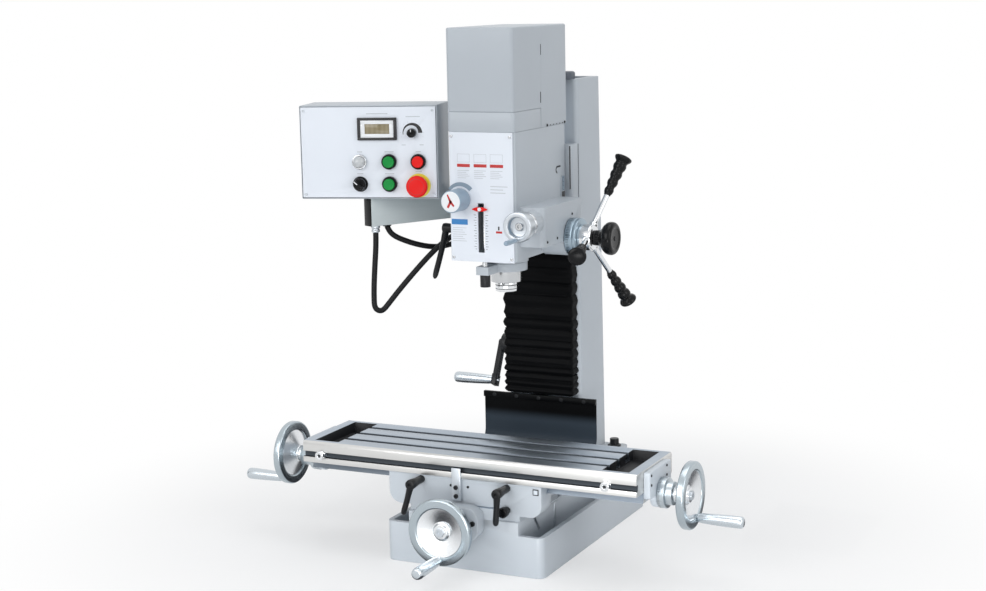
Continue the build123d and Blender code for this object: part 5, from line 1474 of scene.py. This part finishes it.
def build_bellows():
    """Cloth folds that close up between the base and the carriage."""
    cloth, deepest, front_edge = 2.2, 7.2, 104
    grids = []
    for thickness in (0.0, cloth):
        grid = []
        for index, (z, inset) in enumerate(fold_rows()):
            ring = []
            for x, y in plan_path(min(inset + thickness, deepest)):
                ripple = 0.5 + 0.5 * math.sin(index * 0.37 + x * 0.052) * math.cos(x * 0.021 + index * 0.11)
                sag = ripple if y < front_edge and not thickness else 0.0
                ring.append((x, y + sag, z))
            grid.append(ring)
        grids.append(grid)
    shape = Shape().take(closed_sheet(*grids), "bellows_cloth", UP)
    piece = shape.make("bellows_folds", None, ("bellows",), sharp=80)
    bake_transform(piece)


def build_apron():
    """The rubber sheet: down from its clamp bar, round a bend and forward to the back of the saddle."""
    bend, level, back, top = 38.0, 147.0, 105.4, 261.5
    drop, reach, half = 76.5, 71.6, 1.2
    centre = back - bend
    route = [(back, top - drop / 10 * step) for step in range(11)]
    for step in range(1, 12):
        angle = math.radians(90 * step / 12)
        route.append((centre + bend * math.cos(angle), level + bend - bend * math.sin(angle)))
    route += [(centre - (centre + reach) * step / 14, level) for step in range(15)]
    grids = []
    for thickness in (half, -half):
        grid = []
        for index, here in enumerate(route):
            before = Vector(route[max(index - 1, 0)])
            after = Vector(route[min(index + 1, len(route) - 1)])
            way = (after - before).normalized()
            out = Vector((-way.y, way.x))
            free = math.sin(math.pi * min(1.0, index / (len(route) - 1)))
            ring = []
            for x in range(-125, 126, 10):
                shift = out * (0.5 * free * math.sin(x * 0.043 + index * 0.21) - thickness)
                ring.append((x, here[0] + shift.x, here[1] + shift.y))
            grid.append(ring)
        grids.append(grid)
    shape = Shape().take(closed_sheet(*grids), "apron_rubber", UP)
    apron = shape.make("apron_sheet", None, ("apron",), sharp=60)
    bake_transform(apron)
    bar = Shape().block(-125, 125, 97.9, 103.9, 250, 262, "apron_rubber", UP, 0.8)
    for x in (-100, -50, 0, 50, 100):
        bar.turn([(0, -0.5), (4.4, -0.5), (4.0, 0.5), (0, 0.6)], "lever_black", front(x, 97.9, 256), 24, 0.2)
    clamp = bar.make("apron_clamp_bar", "base", slot="black_steel")


# Fasteners and small fittings

def cap_screw(radius, height):
    """A socket head screw standing on its seat."""
    socket, floor = radius * 0.55, height * 0.4
    return [
        (0, -0.4), (radius, -0.4), (radius, height * 0.85), (radius * 0.9, height), (socket, height),
        (socket, height - 0.01, "hex"), (socket, floor, "hex"), (0, floor),
    ]


def add_screws(shape, places, radius, height, finish="black_steel"):
    for place in places:
        shape.turn(cap_screw(radius, height), finish, place, 24, 0)


def build_fasteners():
    bolts = Shape()
    washer = [(0, -0.4), (14, -0.4), (14, 2.4), (11.5, 4), (0, 4)]
    bolt_head = [(0, 3.8), (10.2, 3.8, "hex"), (10.2, 14.6, "hex"), (9, 16), (0, 16)]
    for place in [upright(x, y, 130) for x in (-107, 107) for y in (160, 246)]:
        bolts.turn(washer, "black_steel", place, 40, 0.6)
        bolts.turn(bolt_head, "black_steel", place, 48, 0)
    add_screws(bolts, [front(x, -286, 101) for x in (-35, 35)], 5, 4)
    bolts.make("base_bolts", "base", slot="black_steel")
    screws = Shape()
    add_screws(screws, [front(x, saddle_front, 160) for x in (-27, 9)], 2.5, 1.2)
    add_screws(screws, [front(-12.5, -258, z) for z in (159, 142)], 4.4, 3)
    # A near-black square round the small raised stub: painted shade round its edge
    stub = front(149, saddle_front, 164)
    screws.block(-6, 6, -6, 6, -0.4, 0.5, "dark_gap", stub, 0.1)
    screws.block(-4, 4, -4, 4, -0.4, 2.0, "bracket_paint", stub, 0.4)
    screws.make("saddle_screws", "saddle", slot="black_steel")
    screws = Shape()
    for end in (right(table_end, 0, 0), left(-table_end, 0, 0)):
        for y in (-212, -131):
            add_screws(screws, [upright(0, y, z) @ end for z in (208, 190)], 2.5, 1.2)
    screws.make("table_screws", "table", slot="black_steel")
    screws = Shape()
    for y in (4.4, 89):
        add_screws(screws, (right(head_side, y, 823), left(-head_side, y, 823)), 2.6, 1.4)
    add_screws(screws, [right(119, y, z) for y, z in ((-112, 612), (-66, 614), (7, 652))], 2.4, 1.2)
    corners = [front(x, plate_front, z) for z in (812, 581) for x in (-61, 61)]
    add_screws(screws, corners, 2.8, 1.4, "ground_steel")
    add_screws(screws, [panel_place(u, w) for w in (170, 9) for u in (9, 262)], 2.6, 1.4, "plated_steel")
    screws.make("head_screws", "head", slot="black_steel")


def seam_slots(shape, side):
    """The slots between the covers on one side of the head, drawn as near-black strips: painted shade in the
    slots.
    """
    shape.block(-0.3, 0.3, -22.6, -20.4, 959, 979.5, "dark_gap", side, 0)
    shape.block(-0.3, 0.3, -26, -23, 868, 889, "dark_gap", side, 0)


def build_side():
    """Slots, the tilt scale and thin gaps on the right side, with painted shade in the slots and gaps, and
    the strips in the base's trough.
    """
    details = Shape()
    side = upright(head_side, 0, 0)
    seam_slots(details, side)
    # A flat near-black hook and bar on the side: painted shadow of a lug and its nut
    hook = [on_circle(7.6, turn) for turn in range(90, 271, 20)]
    hook += [on_circle(4.2, turn) for turn in range(270, 89, -20)]
    hook_y, hook_z = 50, 732
    details.prism([(y + hook_y, z + hook_z) for y, z in hook], 69.7, 70.3, "dark_gap", sideways, 0)
    details.block(-0.3, 0.3, hook_y, 66, 736.2, 739.6, "dark_gap", side, 0)
    details.block(2.9, 3.1, 65.4, 78.6, 688.5, 718, "print_steel", side, 0)
    # A near-black patch below the scale: painted shade in the scale's slot
    details.block(2.8, 3.3, 65.2, 78.8, 674, 687.5, "dark_gap", side, 0)
    for step in range(10):
        z = 690 + 2.7 * step
        details.block(3.0, 3.2, 66, 70 + 5 * (step % 3 == 0), z, z + 0.6, "print_black", side, 0)
    # Near-black dashes along the lid's lower seam: painted shade in the seam
    for y in (17, 32, 47, 62, 76):
        details.block(-0.3, 0.3, y, y + 6, 821.6, 823.2, "dark_gap", side, 0)
    details.make("head_side_details", "head", slot="machine_paint")
    # Near-black strips on the carriage's side: painted shade in the gaps beside the head and the column
    gap = Shape().block(82.7, 83.3, 80.6, 86, 690, 776, "dark_gap", UP, 0)
    gap.block(82.7, 83.3, 125.4, 126.6, 640, 777, "dark_gap", UP, 0)
    gap.make("carriage_gap", "carriage", slot="machine_paint")
    trough = Shape().block(114.8, 116.8, -130, -74, 99, 103, "plated_steel", UP, 0.3)
    trough.block(114.8, 116.8, -92, -84, 50, 100, "plated_steel", UP, 0.3)
    strip = [(-194, 100), (-188, 103), (-160, 67), (-166, 64)]
    trough.prism(strip, 114.8, 116.6, "bright_metal", sideways, 0.3)
    trough.make("trough_fittings", "base", slot="bright_metal")


def vent_rows(shape, place, lefts, width, first, pitch, half, depths):
    """Six rows of near-black slots between two depths: painted shade in the openings."""
    for row in range(6):
        level = first + pitch * row
        for x in lefts:
            shape.block(x, x + width, level - half, level + half, *depths, "dark_gap", place, 0)


def build_back():
    """The screwed covers on the column's leaning back and on the control box, and the motor's vents."""
    place = axes((0, 257.65, 475), (-1, 0, 0), (0, *on_circle(1, 1.28)))
    cover = Shape().block(-48, 48, -150, 150, -0.3, 1.6, "machine_paint", place, 0.6)
    seats = [place @ upright(x, level, 1.6) for x in (-41, 41) for level in (-142, 0, 142)]
    add_screws(cover, seats, 3.4, 2.2)
    cover.make("column_back_cover", "base", slot="machine_paint")
    place = panel_place(135.5, 90) @ spin(180, "Y") @ upright(0, 0, 112)
    cover = Shape().block(-120, 120, -76, 76, -0.3, 1.4, "machine_paint", place, 0.6)
    add_screws(cover, [place @ upright(x, level, 1.4) for x in (-113, 113) for level in (-69, 69)], 3.0, 1.8)
    vent_rows(cover, place, (-80, 10), 70, 12, 8, 1.3, (1.2, 1.6))
    cover.make("box_back_cover", "head", slot="machine_paint")
    vents = Shape()
    back = axes((0, 104, 0), (-1, 0, 0), (0, 1, 0))
    vent_rows(vents, back, (-48, 4), 44, 940, 9, 1.5, (-0.3, 0.3))
    seam_slots(vents, upright(-head_side, 0, 0))
    vents.make("motor_vents", "head", slot="machine_paint")


# Operators

class MillOperator:
    bl_options = {"REGISTER", "UNDO"}


class MILL_OT_stage(MillOperator, bpy.types.Operator):
    """Sets the camera, the floor and the lights"""

    bl_idname = "mill.stage"
    bl_label = "Stage"

    def execute(self, context):
        make_finishes(context.scene.mill_colours)
        build_camera(context.scene.mill_sizes)
        build_floor()
        build_lights(context.scene.mill_sizes)
        context.scene.view_settings.view_transform = "Standard"
        return {"FINISHED"}


class MILL_OT_cables(MillOperator, bpy.types.Operator):
    """Hangs the two cables with their glands"""

    bl_idname = "mill.cables"
    bl_label = "Cables"

    def execute(self, context):
        build_cables(context.scene.mill_sizes)
        return {"FINISHED"}


class MILL_OT_castings(MillOperator, bpy.types.Operator):
    """Dresses the painted castings"""

    bl_idname = "mill.castings"
    bl_label = "Castings"

    def execute(self, context):
        build_castings(context.scene.mill_sizes)
        return {"FINISHED"}


class MILL_OT_covers(MillOperator, bpy.types.Operator):
    """Dresses the head's covers, the control box and its arm"""

    bl_idname = "mill.covers"
    bl_label = "Covers"

    def execute(self, context):
        build_covers(context.scene.mill_sizes)
        return {"FINISHED"}


class MILL_OT_table(MillOperator, bpy.types.Operator):
    """Dresses the table, the spindle and the machined pieces, and finishes the inner ones"""

    bl_idname = "mill.table"
    bl_label = "Table and machined pieces"

    def execute(self, context):
        build_table(context.scene.mill_sizes)
        finish_inside()
        return {"FINISHED"}


class MILL_OT_wheels(MillOperator, bpy.types.Operator):
    """Turns the handwheels, dials and revolving handles"""

    bl_idname = "mill.wheels"
    bl_label = "Wheels and handles"

    def execute(self, context):
        build_wheels()
        build_handles()
        return {"FINISHED"}


class MILL_OT_feeds(MillOperator, bpy.types.Operator):
    """Makes the capstan, the fine feed wheel, the knobs and the levers"""

    bl_idname = "mill.feeds"
    bl_label = "Capstan, knobs and levers"

    def execute(self, context):
        build_capstan()
        build_fine_feed()
        build_range_knob()
        build_levers()
        return {"FINISHED"}


class MILL_OT_controls(MillOperator, bpy.types.Operator):
    """Makes the front plate and the control panel with their fittings"""

    bl_idname = "mill.controls"
    bl_label = "Front plate and panel"

    def execute(self, context):
        build_plate()
        build_panel()
        return {"FINISHED"}


class MILL_OT_soft(MillOperator, bpy.types.Operator):
    """Folds the bellows and hangs the apron"""

    bl_idname = "mill.soft"
    bl_label = "Bellows and apron"

    def execute(self, context):
        build_bellows()
        build_apron()
        return {"FINISHED"}


class MILL_OT_fasteners(MillOperator, bpy.types.Operator):
    """Adds the screws, bolts and small fittings"""

    bl_idname = "mill.fasteners"
    bl_label = "Fasteners"

    def execute(self, context):
        build_fasteners()
        build_side()
        build_back()
        return {"FINISHED"}


operators = (
    MILL_OT_stage, MILL_OT_cables, MILL_OT_castings, MILL_OT_covers, MILL_OT_table, MILL_OT_wheels,
    MILL_OT_feeds, MILL_OT_controls, MILL_OT_soft, MILL_OT_fasteners,
)


class MILL_PT_sidebar(bpy.types.Panel):
    """Lists the mill's pieces, sizes and colours"""

    bl_idname = "MILL_PT_sidebar"
    bl_label = "Bench Mill-Drill"
    bl_space_type = "VIEW_3D"
    bl_region_type = "UI"
    bl_category = "Mill"

    def draw(self, context):
        for values in (context.scene.mill_sizes, context.scene.mill_colours):
            for label in values.__annotations__:
                self.layout.prop(values, label)
        for operator in operators:
            self.layout.operator(operator.bl_idname)


classes = (MillColours, MillSizes, *operators, MILL_PT_sidebar)


def register():
    for kind in classes:
        bpy.utils.register_class(kind)
    bpy.types.Scene.mill_colours = bpy.props.PointerProperty(type=MillColours)
    bpy.types.Scene.mill_sizes = bpy.props.PointerProperty(type=MillSizes)


def unregister():
    del bpy.types.Scene.mill_sizes
    del bpy.types.Scene.mill_colours
    for kind in reversed(classes):
        bpy.utils.unregister_class(kind)


def main():
    register()
    for operator in operators:
        family, name = operator.bl_idname.split(".")
        getattr(getattr(bpy.ops, family), name)()


if __name__ == "__main__":
    main()
